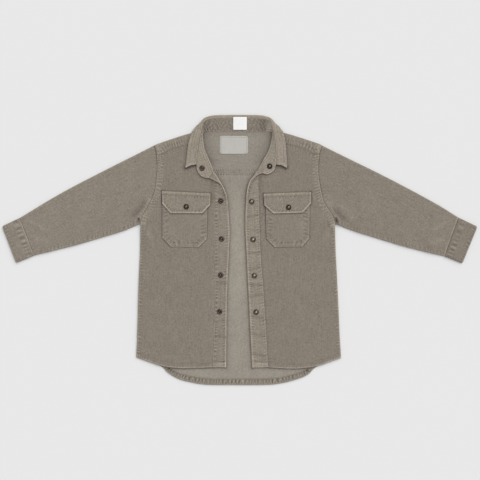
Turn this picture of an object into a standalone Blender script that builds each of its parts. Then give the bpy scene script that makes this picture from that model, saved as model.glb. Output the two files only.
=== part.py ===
# A child's corduroy overshirt laid flat on a surface, front open and sleeves spread.
# Frame: +X to the viewer's right, +Y towards the collar, +Z up. Tables are in millimetres.
# Left and right are the viewer's, seen from above.

import bpy
import bmesh
import math
import numpy as np

MM = 0.001

# Cloth
CLOTH = 1.4            # one ply of corduroy
PLACKET = 2.4          # folded front band
HEM_PLY = 1.05         # pressed hem strip
COLLAR = 1.4           # pressed collar leaf and stand
CUFF = 1.8             # one side of the cuff, with its facing
LABEL = 0.6            # woven label
GAP = 0.3              # clearance between pieces at seams
AIR = 0.5              # slack between the back and what lies on it
SEAM = 0.4             # clearance along sewn edges, seen from above
POCKET_GAP = 0.5       # clearance between a front, its pocket and its flap

# Body axis and how far the right half of the collar swings in, per mm below the shoulder
AXIS_X = -4.2
SWING = 0.08
SHOULDER_Y = 225.0

# Snap fasteners
SNAP_RADIUS = 5.3
SNAP_STEPS = 14

FRONT_BASE = CLOTH + GAP
COLLECTION = "laid_out_overshirt"

# Armhole seam, from the shoulder fold down to the armpit: (x, y)
# Row 1 is the end of the front yoke seam and row 3 the end of the back yoke seam.
FRONT_YOKE_ROW = 1
BACK_YOKE_ROW = 3
ARMHOLE = {
    "left": [(-161.4, 199.4), (-157.4, 181.1), (-156, 163.5), (-156.8, 146), (-158.1, 131.5), (-159.9, 118.8),
             (-163.3, 105.5), (-168.4, 93.3), (-174.2, 81), (-180.8, 70.5), (-185.8, 61), (-188.2, 50)],
    "right": [(156.2, 199), (151.2, 184.8), (149.3, 165.5), (149.3, 147), (150.7, 132.7), (153, 119.5),
              (156, 105), (159, 93.5), (164, 83.5), (171.2, 73.5), (177.4, 63), (180.7, 50)],
}

# Outlines of each half, from the hem upwards or from the side inwards: (x, y)
SIDE_SEAM = {
    "left": [(-196.5, -203), (-194.6, -163), (-192.1, -72), (-189.2, 0), (-188.2, 50)],
    "right": [(192.5, -204), (189.9, -163), (185.8, -72), (182.1, 0), (180.7, 50)],
}
FRONT_HEM = {
    "left": [(-196.5, -203), (-155, -217.5), (-128, -223), (-95, -224.2), (-51.5, -222.5)],
    "right": [(192.5, -204), (150, -219), (120, -224), (96, -225), (54.2, -222.8)],
}
PLACKET_SEAM = {
    "left": [(-51.5, -222.5), (-47.7, -85), (-48.9, 0), (-48.9, 114), (-49.3, 151)],
    "right": [(54.2, -222.8), (45.6, -85), (39.3, 0), (35.7, 114), (35.2, 151)],
}
PLACKET_EDGE = {
    "left": [(-25.7, -222.8), (-24, -85), (-19.5, 19), (-20.2, 57), (-24.6, 104), (-35.6, 128),
             (-48.3, 149.8)],
    "right": [(23.1, -223.4), (16.2, -85), (11.1, 19), (10, 57), (12.4, 105), (18.5, 130),
              (33.6, 149.4)],
}
SHOULDER_FOLD = {
    "left": [(-161.4, 199.4), (-153, 203), (-111.6, 217), (-89.6, 223), (-79.5, 225.3)],
    "right": [(156.2, 199), (148, 203), (106.9, 216.5), (81.2, 223.8), (70.5, 225.5)],
}
FRONT_YOKE_SEAM = {
    "left": [(-157.4, 181.1), (-151.5, 180.8), (-145.5, 183.3), (-133, 190.5), (-98.5, 201.3), (-79.5, 206)],
    "right": [(151.2, 184.8), (143.5, 182.8), (137, 184.2), (129, 189.5), (113, 196.2), (90, 201.5), (69.7, 206)],
}
YOKE_NECK = [(-77.6, 225.4), (-75, 225.2), (-60, 225.2), (-40, 225.1), (AXIS_X, 225),
             (30, 225.1), (52, 225.2), (66, 225.3), (68.6, 225.5)]
NECK_TURNING = 3.0     # turned edge of the yoke along the back neck
NECK_SEAM = [(-49.3, 151), (-58, 164), (-66, 175), (-74, 185.5), (-78, 196), (-79.5, 206)]

# Turned-out corner of the front band: the turned edge and the roll, from the collar stand down
TURN_EDGE = {
    "left": [(-57.5, 136.6), (-47, 131.3), (-38.7, 126.7), (-33.2, 120), (-24.6, 97)],
    "right": [(44.4, 146), (38.4, 144.4), (33.2, 141.6), (25.5, 135), (19.5, 127), (12.6, 98)],
}
TURN_ROLL = {
    "left": [(-50.2, 149), (-43.4, 140), (-35.6, 128), (-29.5, 114.6), (-24, 97)],
    "right": [(44.1, 170.2), (40.4, 163.6), (35.4, 154.4), (28.5, 144.4), (19.2, 132), (14.5, 117.6), (12.1, 98)],
}

FACING_RISE = 0.3      # how much more than the band under it the turned corner bulges

# Back hem, from the left side seam to the right one, and its turned-up strip
BACK_HEM = [(-196.5, -203), (-155, -217.5), (-134, -234), (-115, -244.5), (-88, -251.5), (-62, -255),
            (-22, -255.5), (41, -255.4), (73, -253.3), (104, -246.2), (128, -236.7), (150, -219),
            (192.5, -204)]
HEM_TURN_UP = 10.5
HEM_STRIP_ENDS = (-141.0, 136.0)

# Sleeve edges from the armhole to the cuff, and the cuff's corners: (x, y)
SLEEVE_TOP = {
    "left": [(-161.8, 199.2), (-190, 185), (-265.5, 147), (-341.5, 107), (-417.6, 61.4)],
    "right": [(156.6, 198.8), (190.5, 182), (281.7, 137), (367.2, 91.5), (415.2, 62.2)],
}
SLEEVE_BOTTOM = {
    "left": [(-188.8, 50.6), (-208.5, 42), (-227.5, 34.6), (-303.5, 12), (-341.5, 2.3), (-389.8, -9.6)],
    "right": [(181.3, 50.6), (202, 42), (222.8, 34.6), (297, 11.8), (338.7, 0.5), (388.5, -11.3)],
}
CUFF_CORNERS = {
    "left": {"seam": [(-418.1, 61.2), (-390.2, -9.9)], "end": [(-451.2, 45.6), (-424.4, -24.1)]},
    "right": {"seam": [(415.7, 62), (389, -11.6)], "end": [(451.2, 44.8), (422.8, -24.7)]},
}

# Pockets and flaps: chamfered outlines as top corners, side ends and bottom corners, outer side first
POCKET_CORNERS = {
    "left": {"top": [(-147, 105), (-61.3, 100.5)], "side": [(-147, 23.8), (-63, 21)],
             "bottom": [(-130.4, 6.5), (-79, 5)]},
    "right": {"top": [(132.7, 104), (48.7, 100.5)], "side": [(132.1, 22.8), (50.8, 21.8)],
              "bottom": [(118.1, 6.5), (66.8, 5.5)]},
}
FLAP_CORNERS = {
    "left": {"top": [(-147.5, 112.5), (-55.2, 107.7)], "side": [(-147.2, 88.3), (-56.1, 85.9)],
             "bottom": [(-131.4, 69.9), (-70.8, 69.9)]},
    "right": {"top": [(135.4, 110.6), (44.9, 107.2)], "side": [(135, 88.3), (46.5, 84.9)],
              "bottom": [(119.4, 70.8), (63.9, 69.4)]},
}

# Collar stand, left front end to centre back: rolled neck edge (x, y, z), seam with the leaf (x, y, z)
STAND_ROWS = [
    ((-51.0, 150.0, 5.6), (-58.4, 137.6, 5.6)),
    ((-51.6, 152.4, 5.4), (-65.8, 138.0, 5.3)),
    ((-52.4, 155.8, 5.2), (-73.6, 141.8, 5.2)),
    ((-53.6, 160.2, 5.2), (-78.6, 148.8, 5.1)),
    ((-56.2, 167.2, 5.0), (-81.6, 159.2, 5.2)),
    ((-60.8, 177.8, 4.6), (-81.0, 173.0, 6.3)),
    ((-66.2, 190.0, 4.3), (-79.0, 189.5, 7.2)),
    ((-69.2, 205.0, 4.3), (-76.8, 206.0, 7.4)),
    ((-70.2, 216.0, 4.5), (-75.0, 219.0, 7.5)),
    ((-70.8, 224.2, 4.8), (-75.0, 227.0, 7.7)),
    ((-70.2, 228.0, 4.2), (-74.6, 232.5, 7.2)),
    ((-68.3, 228.4, 3.4), (-73.6, 238.0, 6.2)),
    ((-65.5, 228.2, 3.1), (-69.5, 243.0, 5.0)),
    ((-60.0, 227.6, 3.0), (-61.5, 246.8, 4.2)),
    ((-48.0, 226.8, 2.9), (-48.5, 248.6, 3.6)),
    ((-30.0, 226.1, 2.9), (-30.0, 248.9, 3.5)),
    ((AXIS_X, 225.8, 2.9), (AXIS_X, 249.0, 3.5)),
]

# The same at the right front end, which ends higher up, along the turned-out corner of the band
STAND_END = [
    ((44.6, 170.6, 5.4), (44.9, 146.0, 5.6)),
    ((45.3, 172.2, 5.3), (52.0, 144.9, 5.3)),
    ((46.0, 173.8, 5.1), (59.4, 147.6, 5.2)),
    ((46.8, 175.2, 4.9), (64.6, 152.8, 5.1)),
    ((47.6, 176.5, 4.7), (67.6, 160.9, 5.2)),
]

# Collar leaf, left tip to centre back:
# seam with the stand (x, y, z), bend (x, y), free edge (x, y, z)
LEAF_ROWS = [
    ((-83.0, 162.0, 5.9), (-93.0, 160.8), (-103.0, 155.8, 7.0)),
    ((-82.4, 171.0, 6.3), (-92.5, 169.5), (-102.2, 168.0, 5.6)),
    ((-80.0, 190.0, 7.2), (-90.0, 189.0), (-99.6, 188.0, 5.1)),
    ((-77.8, 206.0, 7.4), (-88.0, 205.5), (-97.2, 205.0, 5.1)),
    ((-75.9, 219.3, 7.5), (-85.0, 218.3), (-93.4, 216.8, 5.1)),
    ((-75.8, 227.3, 7.7), (-84.0, 226.0), (-91.0, 224.6, 5.1)),
    ((-75.3, 233.1, 7.2), (-82.4, 231.2), (-88.0, 228.6, 4.2)),
    ((-74.3, 238.6, 6.2), (-79.0, 237.4), (-83.5, 234.6, 3.0)),
    ((-70.0, 243.7, 5.0), (-73.6, 244.2), (-79.5, 236.0, 1.6)),
    ((-61.8, 247.5, 4.2), (-65.0, 251.6), (-70.0, 231.5, 0.95)),
    ((-48.6, 249.3, 3.6), (-50.0, 255.3), (-50.0, 228.4, 0.75)),
    ((-30.0, 249.6, 3.6), (-30.0, 256.2), (-30.0, 228.2, 0.75)),
    ((AXIS_X, 249.7, 3.6), (AXIS_X, 256.2), (AXIS_X, 228.2, 0.75)),
]

# How half a leaf row is divided, and the most of it that its roll may take
FLAT_STEPS = 3
ROLL_STEPS = 4
ROLL_LIMIT = 0.9

# Labels: x0, y0, x1, y1, corner
NECK_LABEL = (-38.0, 183.0, 15.5, 217.0, 3.5)
STAND_LABEL = (-12.4, 228.6, 13.4, 252.8, 1.0)

# Soft folds raised in the cloth: from (x, y) to (x, y), half width, height
FOLDS = [
    (-188, 46, -172, 10, 10, 1.3),
    (-176, 98, -198, 54, 6, 1.6),
    (-118, -30, -128, -200, 28, 1.0),
    (-72, -70, -66, -205, 20, 0.8),
    (-172, -60, -176, -170, 18, 0.7),
    (-46, 140, -30, 96, 12, 1.0),
    (180, 44, 162, 8, 10, 1.3),
    (166, 96, 190, 54, 6, 1.6),
    (104, -40, 118, -200, 28, 1.0),
    (72, -80, 66, -205, 20, 0.8),
    (34, 142, 18, 96, 12, 0.8),
    (-228, 150, -238, 48, 20, 1.2),
    (-300, 112, -318, 26, 22, 1.0),
    (-372, 76, -366, 4, 16, 1.2),
    (222, 150, 232, 46, 20, 1.2),
    (296, 112, 312, 24, 22, 1.0),
    (368, 76, 362, 2, 16, 1.2),
]

# Snap places: side, place, (x, y), kind
SNAPS = [
    ("left", "placket", (-35.8, 94.0), "socket"),
    ("left", "placket", (-34.5, 21.7), "socket"),
    ("left", "placket", (-36.2, -47.1), "socket"),
    ("left", "placket", (-38.3, -116.3), "socket"),
    ("right", "placket", (22.6, 92.5), "cap"),
    ("right", "placket", (25.4, 20.5), "cap"),
    ("right", "placket", (27.8, -48.1), "cap"),
    ("right", "placket", (31.1, -117.4), "cap"),
    ("left", "stand", (-71.5, 155.8), "socket"),
    ("right", "stand", (56.9, 159.4), "cap"),
    ("left", "flap", (-101.4, 82.6), "cap"),
    ("right", "flap", (92.8, 81.5), "cap"),
]

# Turned profiles of the snaps, top to bottom: (radius, height)
SNAP_PROFILE = {
    "cap": [(0, 2.4), (2.6, 2.2), (4.4, 1.5), (SNAP_RADIUS, 0.6), (SNAP_RADIUS, 0), (0, 0)],
    "socket": [(0, 0.9), (1.8, 0.9), (2.4, 2.0), (4.3, 2.0), (SNAP_RADIUS, 1.0), (SNAP_RADIUS, 0), (0, 0)],
}

# Plain finish of each material: colour (linear), roughness, metallic
FINISH = {
    "corduroy": ((0.245, 0.212, 0.176), 0.92, 0.0),
    "inside": ((0.315, 0.285, 0.248), 0.95, 0.0),
    "neck_label": ((0.50, 0.48, 0.45), 0.85, 0.0),
    "stand_label": ((0.88, 0.88, 0.86), 0.75, 0.0),
    "snap_metal": ((0.075, 0.062, 0.050), 0.36, 0.9),
}

# Divisions of the grids
ACROSS = 10            # across one front
SIDE_STEPS = 12        # along a side seam
NECK_STEPS = 5         # along one side of the neck
SLEEVE_STEPS = 10      # along a sleeve
CUFF_STEPS = 6         # across a cuff
BAND_STEPS = 3         # across a front band
TURN_STEPS = 7         # along a turned-out corner
POCKET_STEPS = 6       # across a pocket or flap, and down a pocket
FLAP_STEPS = 3         # down a flap
LABEL_STEPS = 4        # across a label
STAND_STEPS = 5        # across the collar stand


# Plane curves and patches

def smooth(points, count):
    """Points spaced evenly along a Catmull-Rom curve through the given points."""
    pts = np.array(points, dtype=float)
    padded = np.vstack([2 * pts[0] - pts[1], pts, 2 * pts[-1] - pts[-2]])
    t = np.linspace(0, 1, 12, endpoint=False)[:, None]
    dense = []
    for a, b, c, d in zip(padded, padded[1:], padded[2:], padded[3:]):
        dense.append(0.5 * (2 * b + (c - a) * t + (2 * a - 5 * b + 4 * c - d) * t ** 2
                            + (3 * b - a - 3 * c + d) * t ** 3))
    dense = np.vstack(dense + [pts[-1:]])
    return evenly(dense, count)


def evenly(line, count):
    """The given polyline cut into equal lengths."""
    line = np.array(line, dtype=float)
    steps = np.linalg.norm(np.diff(line, axis=0), axis=1)
    along = np.concatenate([[0], np.cumsum(steps)])
    wanted = np.linspace(0, along[-1], count + 1)
    return np.stack([np.interp(wanted, along, line[:, k]) for k in range(line.shape[1])], axis=1)


def chain(*stretches):
    """Stretches joined end to end, their shared corner points kept once."""
    return np.vstack([stretches[0]] + [s[1:] for s in stretches[1:]])


def patch(bottom, top, left, right):
    """Coons patch between four edges: rows run from bottom to top, columns from left to right."""
    u = np.linspace(0, 1, len(bottom))[None, :, None]
    v = np.linspace(0, 1, len(left))[:, None, None]
    ruled_v = (1 - v) * bottom[None] + v * top[None]
    ruled_u = (1 - u) * left[:, None] + u * right[:, None]
    corners = ((1 - u) * (1 - v) * bottom[0] + u * (1 - v) * bottom[-1]
               + (1 - u) * v * top[0] + u * v * top[-1])
    return ruled_v + ruled_u - corners


def mirrored(point):
    """A left-hand collar point carried to the right half, swung in below the shoulder."""
    x = 2 * AXIS_X - point[0] - SWING * max(SHOULDER_Y - point[1], 0.0)
    return (x,) + tuple(point[1:])


def shifted(points, dx):
    return np.array(points, dtype=float) + np.array([dx, 0.0])


def outward(side):
    """Direction away from the body on each side."""
    return -1.0 if side == "left" else 1.0


def lift(x, y):
    """Height of the slack and the soft folds above the flat layer."""
    height = np.full(np.shape(x), AIR)
    for x0, y0, x1, y1, width, rise in FOLDS:
        run = np.array([x1 - x0, y1 - y0], dtype=float)
        length = np.linalg.norm(run)
        run /= length
        along = (x - x0) * run[0] + (y - y0) * run[1]
        off = (x - x0) * run[1] - (y - y0) * run[0]
        beyond = np.maximum(0, np.abs(along - length / 2) - length / 2)
        height = height + rise * np.exp(-(off ** 2 + beyond ** 2) / width ** 2)
    return height


# Meshes

def finished(name, vertices, faces, material):
    """A named object with one closed mesh in metres, faces out and shaded smooth."""
    mesh = bpy.data.meshes.new(name)
    mesh.from_pydata([tuple(v) for v in np.array(vertices) * MM], [], faces)
    shell = bmesh.new()
    shell.from_mesh(mesh)
    bmesh.ops.recalc_face_normals(shell, faces=shell.faces)
    shell.to_mesh(mesh)
    shell.free()
    mesh.shade_smooth()
    mesh.set_sharp_from_angle(angle=math.radians(50))
    mesh.materials.append(bpy.data.materials[material])
    part = bpy.data.objects.new(name, mesh)
    bpy.data.collections[COLLECTION].objects.link(part)
    return part


def wall(name, lower, upper, material):
    """A closed wall between two grids of points with the same rows and columns."""
    rows, columns = lower.shape[:2]
    vertices = np.vstack([lower.reshape(-1, 3), upper.reshape(-1, 3)])
    count = rows * columns
    index = np.arange(count).reshape(rows, columns)
    faces = []
    for i in range(rows - 1):
        for j in range(columns - 1):
            a, b, c, d = index[i, j], index[i, j + 1], index[i + 1, j + 1], index[i + 1, j]
            faces.append((d, c, b, a))
            faces.append((a + count, b + count, c + count, d + count))
    rim = list(index[0]) + list(index[1:, -1]) + list(index[-1, -2::-1]) + list(index[-2:0:-1, 0])
    for a, b in zip(rim, rim[1:] + rim[:1]):
        faces.append((a, b, b + count, a + count))
    return finished(name, vertices, [tuple(int(k) for k in f) for f in faces], material)


def tube(name, outer, inner, material):
    """A closed tube wall between outer and inner rings, open at both ends."""
    rings, points = outer.shape[:2]
    vertices = np.vstack([outer.reshape(-1, 3), inner.reshape(-1, 3)])
    count = rings * points
    faces = []
    for j in range(points):
        k = (j + 1) % points
        for i in range(rings - 1):
            a, b, c, d = i * points + j, i * points + k, (i + 1) * points + k, (i + 1) * points + j
            faces.append((a, b, c, d))
            faces.append((d + count, c + count, b + count, a + count))
        last = (rings - 1) * points
        faces.append((k, j, j + count, k + count))
        faces.append((last + j, last + k, last + k + count, last + j + count))
    return finished(name, vertices, faces, material)


def raised(plan, height):
    """Plan points lifted to the given heights."""
    return np.concatenate([plan, np.broadcast_to(height, plan.shape[:2])[..., None]], axis=2)


def panel(name, plan, base, thickness, material):
    """A cloth panel over a plan grid, from its underside heights and thickness."""
    lower = raised(plan, base)
    upper = raised(plan, base + thickness)
    return wall(name, lower, upper, material)


def front_base(plan):
    """Underside of what lies straight on the back."""
    return FRONT_BASE + lift(plan[..., 0], plan[..., 1])


def front_top(plan):
    return front_base(plan) + CLOTH


# Body panels

def neck_seam(side):
    points = NECK_SEAM if side == "left" else [mirrored(p) for p in NECK_SEAM]
    return smooth(points, NECK_STEPS)


def placket_line(side):
    steps = SIDE_STEPS + len(ARMHOLE[side]) - 1 - FRONT_YOKE_ROW - NECK_STEPS
    return smooth(PLACKET_SEAM[side], steps)


def yoke_line(side):
    """Front yoke seam with the points that the yoke and the front share."""
    return smooth(FRONT_YOKE_SEAM[side], ACROSS)


def make_front(side):
    armhole = np.array(ARMHOLE[side][:FRONT_YOKE_ROW - 1:-1], dtype=float)
    outer = chain(smooth(SIDE_SEAM[side], SIDE_STEPS), armhole)
    inner = chain(placket_line(side), neck_seam(side))
    top = yoke_line(side) - np.array([0.0, SEAM])
    outer[-1] = top[0]
    inner[-1] = top[-1]
    plan = patch(smooth(FRONT_HEM[side], ACROSS), top, outer, inner)
    panel("front_" + side, plan, front_base(plan), CLOTH, "corduroy")


def make_back():
    left = np.array(ARMHOLE["left"][:BACK_YOKE_ROW - 1:-1], dtype=float)
    right = np.array(ARMHOLE["right"][:BACK_YOKE_ROW - 1:-1], dtype=float)
    outer_left = chain(smooth(SIDE_SEAM["left"], SIDE_STEPS), left)
    outer_right = chain(smooth(SIDE_SEAM["right"], SIDE_STEPS), right)
    outer_left[-1, 1] -= SEAM
    outer_right[-1, 1] -= SEAM
    top = evenly([outer_left[-1], outer_right[-1]], 2 * ACROSS)
    plan = patch(smooth(BACK_HEM, 2 * ACROSS), top, outer_left, outer_right)
    panel("back", plan, 0.0, CLOTH, "inside")


def make_back_hem():
    """Turned-up hem on the inside of the back, where the fronts leave it showing."""
    hem = smooth(BACK_HEM, 8 * ACROSS)
    x = np.linspace(*HEM_STRIP_ENDS, 2 * ACROSS + 1)
    low = np.interp(x, hem[:, 0], hem[:, 1])
    fronts = np.vstack([smooth(FRONT_HEM["left"], ACROSS), smooth(FRONT_HEM["right"], ACROSS)[::-1]])
    high = np.minimum(low + HEM_TURN_UP, np.interp(x, fronts[:, 0], fronts[:, 1]) - 2 * SEAM)
    rows = [low + share * (high - low) for share in (0.0, 0.5, 1.0)]
    plan = np.stack([np.stack([x, y], axis=1) for y in rows])
    panel("back_hem", plan, CLOTH + GAP, HEM_PLY, "corduroy")


def make_yoke():
    """Back yoke, folded over both shoulders to the front yoke seams."""
    left_fold = smooth(SHOULDER_FOLD["left"], ACROSS)
    right_fold = smooth(SHOULDER_FOLD["right"], ACROSS)[::-1]
    neck = np.array(YOKE_NECK, dtype=float)
    fold = np.vstack([left_fold, neck, right_fold])
    strip = np.vstack([yoke_line("left"), neck - np.array([0.0, NECK_TURNING]), yoke_line("right")[::-1]])
    seam = evenly([ARMHOLE["left"][BACK_YOKE_ROW], ARMHOLE["right"][BACK_YOKE_ROW]], len(fold) - 1)
    ends = {0: ARMHOLE["left"], len(fold) - 1: ARMHOLE["right"]}
    outer = []
    inner = []
    for j in range(len(fold)):
        out_loop, in_loop = yoke_section(seam[j], fold[j], strip[j], ends.get(j))
        outer.append(out_loop)
        inner.append(in_loop)
    wall("back_yoke", np.array(outer), np.array(inner), "corduroy")


def yoke_section(seam, fold, strip, armhole):
    """One section of the yoke: flat from its back seam, round the shoulder fold, along the front strip."""
    shares = [0.0, 0.33, 0.66]
    if armhole is None:
        flat = [seam + s * (fold - seam) for s in shares]
    else:
        flat = [np.array(armhole[BACK_YOKE_ROW - k], dtype=float) for k in range(BACK_YOKE_ROW)]
    top = FRONT_BASE + lift(fold[0], fold[1]) + CLOTH
    half = top / 2
    back_in = (seam - fold) / np.linalg.norm(seam - fold)
    outer = [(*p, 0.0) for p in flat]
    inner = [(*p, CLOTH) for p in flat]
    for turn in (-90, -45, 0, 45, 90):
        c = math.cos(math.radians(turn))
        s = math.sin(math.radians(turn))
        inset = half - half * c
        inset_in = half - (half - CLOTH) * c
        outer.append((*(fold + back_in * inset), half + half * s))
        inner.append((*(fold + back_in * inset_in), half + (half - CLOTH) * s))
    reach = strip - fold
    start = half / np.linalg.norm(reach)
    for share in (0.5, 1.0):
        p = fold + reach * max(share, start + 0.1 * share)
        base = FRONT_BASE + float(lift(p[0], p[1]))
        outer.append((*p, base + CLOTH))
        inner.append((*p, base))
    return outer, inner


def make_placket(side):
    seam = shifted(placket_line(side), -outward(side) * SEAM)
    edge = smooth(PLACKET_EDGE[side], len(seam) - 1)
    plan = patch(evenly([seam[0], edge[0]], BAND_STEPS), evenly([seam[-1], edge[-1]], BAND_STEPS),
                 seam, edge)
    panel("placket_" + side, plan, front_base(plan), PLACKET, "corduroy")


def make_placket_facing(side):
    """The corner of the front band that is turned out with the collar stand."""
    edge = smooth(TURN_EDGE[side], TURN_STEPS)[::-1]
    roll = smooth(TURN_ROLL[side], TURN_STEPS)[::-1]
    plan = patch(evenly([edge[0], roll[0]], BAND_STEPS), evenly([edge[-1], roll[-1]], BAND_STEPS),
                 edge, roll)
    base = front_base(plan) + PLACKET + GAP + FACING_RISE * (lift(plan[..., 0], plan[..., 1]) - AIR)
    panel("placket_facing_" + side, plan, base, CLOTH, "corduroy")


# Pockets

def chamfered(corners, side_steps, across):
    """Plan of a pocket or flap with two cut bottom corners."""
    cut = 2
    edges = []
    for k in (0, 1):
        slant = evenly([corners["bottom"][k], corners["side"][k]], cut)
        edges.append(chain(slant, evenly([corners["side"][k], corners["top"][k]], side_steps)))
    return patch(evenly(corners["bottom"], across), evenly(corners["top"], across), *edges)


def pocket_top(plan):
    return front_top(plan) + POCKET_GAP + CLOTH


def make_pocket(side):
    plan = chamfered(POCKET_CORNERS[side], POCKET_STEPS, POCKET_STEPS)
    panel("pocket_" + side, plan, front_top(plan) + POCKET_GAP, CLOTH, "corduroy")


def flap_base(plan):
    return pocket_top(plan) + POCKET_GAP


def make_flap(side):
    plan = chamfered(FLAP_CORNERS[side], FLAP_STEPS, POCKET_STEPS)
    base = flap_base(plan)
    base[-1] = front_top(plan[-1:])[0] + POCKET_GAP
    panel("flap_" + side, plan, base, CLOTH, "corduroy")


# Sleeves and cuffs

EDGE_SHARES = (0.0, 0.01, 0.03)
EDGE_ROUND = (0.0, 0.75, 1.0)


def flat_tube(name, plan, ply, heights, material):
    """A flattened tube over a plan grid: columns run from its top fold to its bottom fold."""
    width = np.linalg.norm(plan[:, -1] - plan[:, 0], axis=1)[:, None, None]
    shrink = ply / width
    middle = (plan[:, :1] + plan[:, -1:]) / 2
    inner_plan = middle + (plan - middle) * (1 - 2 * shrink)
    columns = plan.shape[1]
    roundness = np.ones(columns)
    roundness[:3] = EDGE_ROUND
    roundness[-3:] = EDGE_ROUND[::-1]
    half = heights / 2
    room = half - ply
    outer_top = raised(plan, half + half * roundness)
    outer_low = raised(plan, half - half * roundness)
    inner_top = raised(inner_plan, half + room * roundness)
    inner_low = raised(inner_plan, half - room * roundness)
    outer = np.concatenate([outer_top, outer_low[:, -2:0:-1]], axis=1)
    inner = np.concatenate([inner_top, inner_low[:, -2:0:-1]], axis=1)
    tube(name, outer, inner, material)


def with_folds(line):
    """A line across a tube with extra points close to both folds."""
    line = np.array(line, dtype=float)
    steps = np.linalg.norm(np.diff(line, axis=0), axis=1)
    along = np.concatenate([[0], np.cumsum(steps)]) / steps.sum()
    inside = [a for a in along if EDGE_SHARES[-1] + 0.01 < a < 1 - EDGE_SHARES[-1] - 0.01]
    wanted = list(EDGE_SHARES) + inside + [1 - e for e in EDGE_SHARES[::-1]]
    return np.stack([np.interp(wanted, along, line[:, k]) for k in (0, 1)], axis=1)


def make_sleeve(side):
    armhole = with_folds(shifted(ARMHOLE[side], outward(side) * SEAM))
    top = smooth(SLEEVE_TOP[side], SLEEVE_STEPS)
    bottom = smooth(SLEEVE_BOTTOM[side], SLEEVE_STEPS)
    top[0] = armhole[0]
    bottom[0] = armhole[-1]
    share = np.linalg.norm(np.diff(armhole, axis=0), axis=1)
    share = np.concatenate([[0], np.cumsum(share)])[:, None] / share.sum()
    seam = top[-1] + share * (bottom[-1] - top[-1])
    u = np.linspace(0, 1, SLEEVE_STEPS + 1)[:, None, None]
    v = share[None]
    ruled_u = (1 - u) * armhole[None] + u * seam[None]
    ruled_v = (1 - v) * top[:, None] + v * bottom[:, None]
    corners = ((1 - u) * ((1 - v) * top[0] + v * bottom[0]) + u * ((1 - v) * top[-1] + v * bottom[-1]))
    plan = ruled_u + ruled_v - corners
    heights = 2 * CLOTH + GAP + lift(plan[..., 0], plan[..., 1])
    flat_tube("sleeve_" + side, plan, CLOTH, heights, "corduroy")


def make_cuff(side):
    seam = with_folds(evenly(CUFF_CORNERS[side]["seam"], CUFF_STEPS))
    end = with_folds(evenly(CUFF_CORNERS[side]["end"], CUFF_STEPS))
    u = np.linspace(0, 1, BAND_STEPS + 1)[:, None, None]
    plan = (1 - u) * seam[None] + u * end[None]
    flat_tube("cuff_" + side, plan, CUFF, np.full(plan.shape[:2], 2 * CUFF + GAP + AIR), "corduroy")


# Collar

def both_halves(rows):
    """Rows of the left half followed by the same rows on the right half."""
    other = [tuple(mirrored(p) for p in row) for row in rows[-2::-1]]
    return list(rows) + other


def half_row(edge, bend, fold):
    """Half a leaf row, from its edge to its bend: a straight run, or where it folds back a rolled one."""
    run = np.linspace(0, 1, FLAT_STEPS + ROLL_STEPS, endpoint=False)[:, None]
    straight = edge + run * (bend - edge)
    away = edge[:2] - bend[:2]
    reach = np.linalg.norm(away)
    radius = min(abs(edge[2] - bend[2]), ROLL_LIMIT * reach)
    turn = np.linspace(math.pi / 2, 0, ROLL_STEPS, endpoint=False)
    flat = np.linspace(reach, radius, FLAT_STEPS, endpoint=False)
    distance = np.concatenate([flat, radius * (1 - np.cos(turn))])[:, None]
    rise = np.concatenate([np.ones(FLAT_STEPS), np.sin(turn)])[:, None]
    rolled = np.hstack([bend[:2] + away / reach * distance, bend[2] + (edge[2] - bend[2]) * rise])
    return fold * rolled + (1 - fold) * straight


def bent_sheet(rows):
    """Middle surface of the leaf: each row runs from its first edge to its bend and on to its last."""
    surface = []
    for start, bend, end in rows:
        start = np.array(start)
        end = np.array(end)
        bend = np.array([*bend, (start[2] + end[2]) / 2])
        one = (start - bend)[:2]
        other = (end - bend)[:2]
        fold = (1 + one @ other / np.linalg.norm(one) / np.linalg.norm(other)) / 2
        surface.append(np.vstack([half_row(start, bend, fold), bend, half_row(end, bend, fold)[::-1]]))
    return np.array(surface)


def between_rows(surface):
    """The surface with a smooth row added between each two."""
    padded = np.concatenate([2 * surface[:1] - surface[1:2], surface, 2 * surface[-1:] - surface[-2:-1]])
    middle = (9 * (padded[1:-2] + padded[2:-1]) - padded[:-3] - padded[3:]) / 16
    finer = np.empty((2 * len(surface) - 1,) + surface.shape[1:])
    finer[::2] = surface
    finer[1::2] = middle
    return finer


def thickened(name, surface, thickness, material):
    """A wall of even thickness about a middle surface."""
    normal = np.cross(np.gradient(surface, axis=0), np.gradient(surface, axis=1))
    normal /= np.linalg.norm(normal, axis=2, keepdims=True)
    offset = normal * thickness / 2
    wall(name, surface - offset, surface + offset, material)


def make_collar():
    rows = both_halves(STAND_ROWS)
    rows[-len(STAND_END):] = STAND_END[::-1]
    stand = np.array([evenly(row, STAND_STEPS) for row in rows])
    thickened("collar_stand", stand, COLLAR, "corduroy")
    leaf = between_rows(bent_sheet(both_halves(LEAF_ROWS)))
    thickened("collar_leaf", leaf, COLLAR, "corduroy")


# Labels

def label_plan(x0, y0, x1, y1, corner):
    """Rectangle with four cut corners."""
    left = chain(evenly([(x0 + corner, y0), (x0, y0 + corner)], 1),
                 evenly([(x0, y0 + corner), (x0, y1 - corner)], LABEL_STEPS),
                 evenly([(x0, y1 - corner), (x0 + corner, y1)], 1))
    right = left * np.array([-1.0, 1.0]) + np.array([x0 + x1, 0.0])
    bottom = evenly([left[0], right[0]], LABEL_STEPS)
    top = evenly([left[-1], right[-1]], LABEL_STEPS)
    return patch(bottom, top, left, right)


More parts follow.
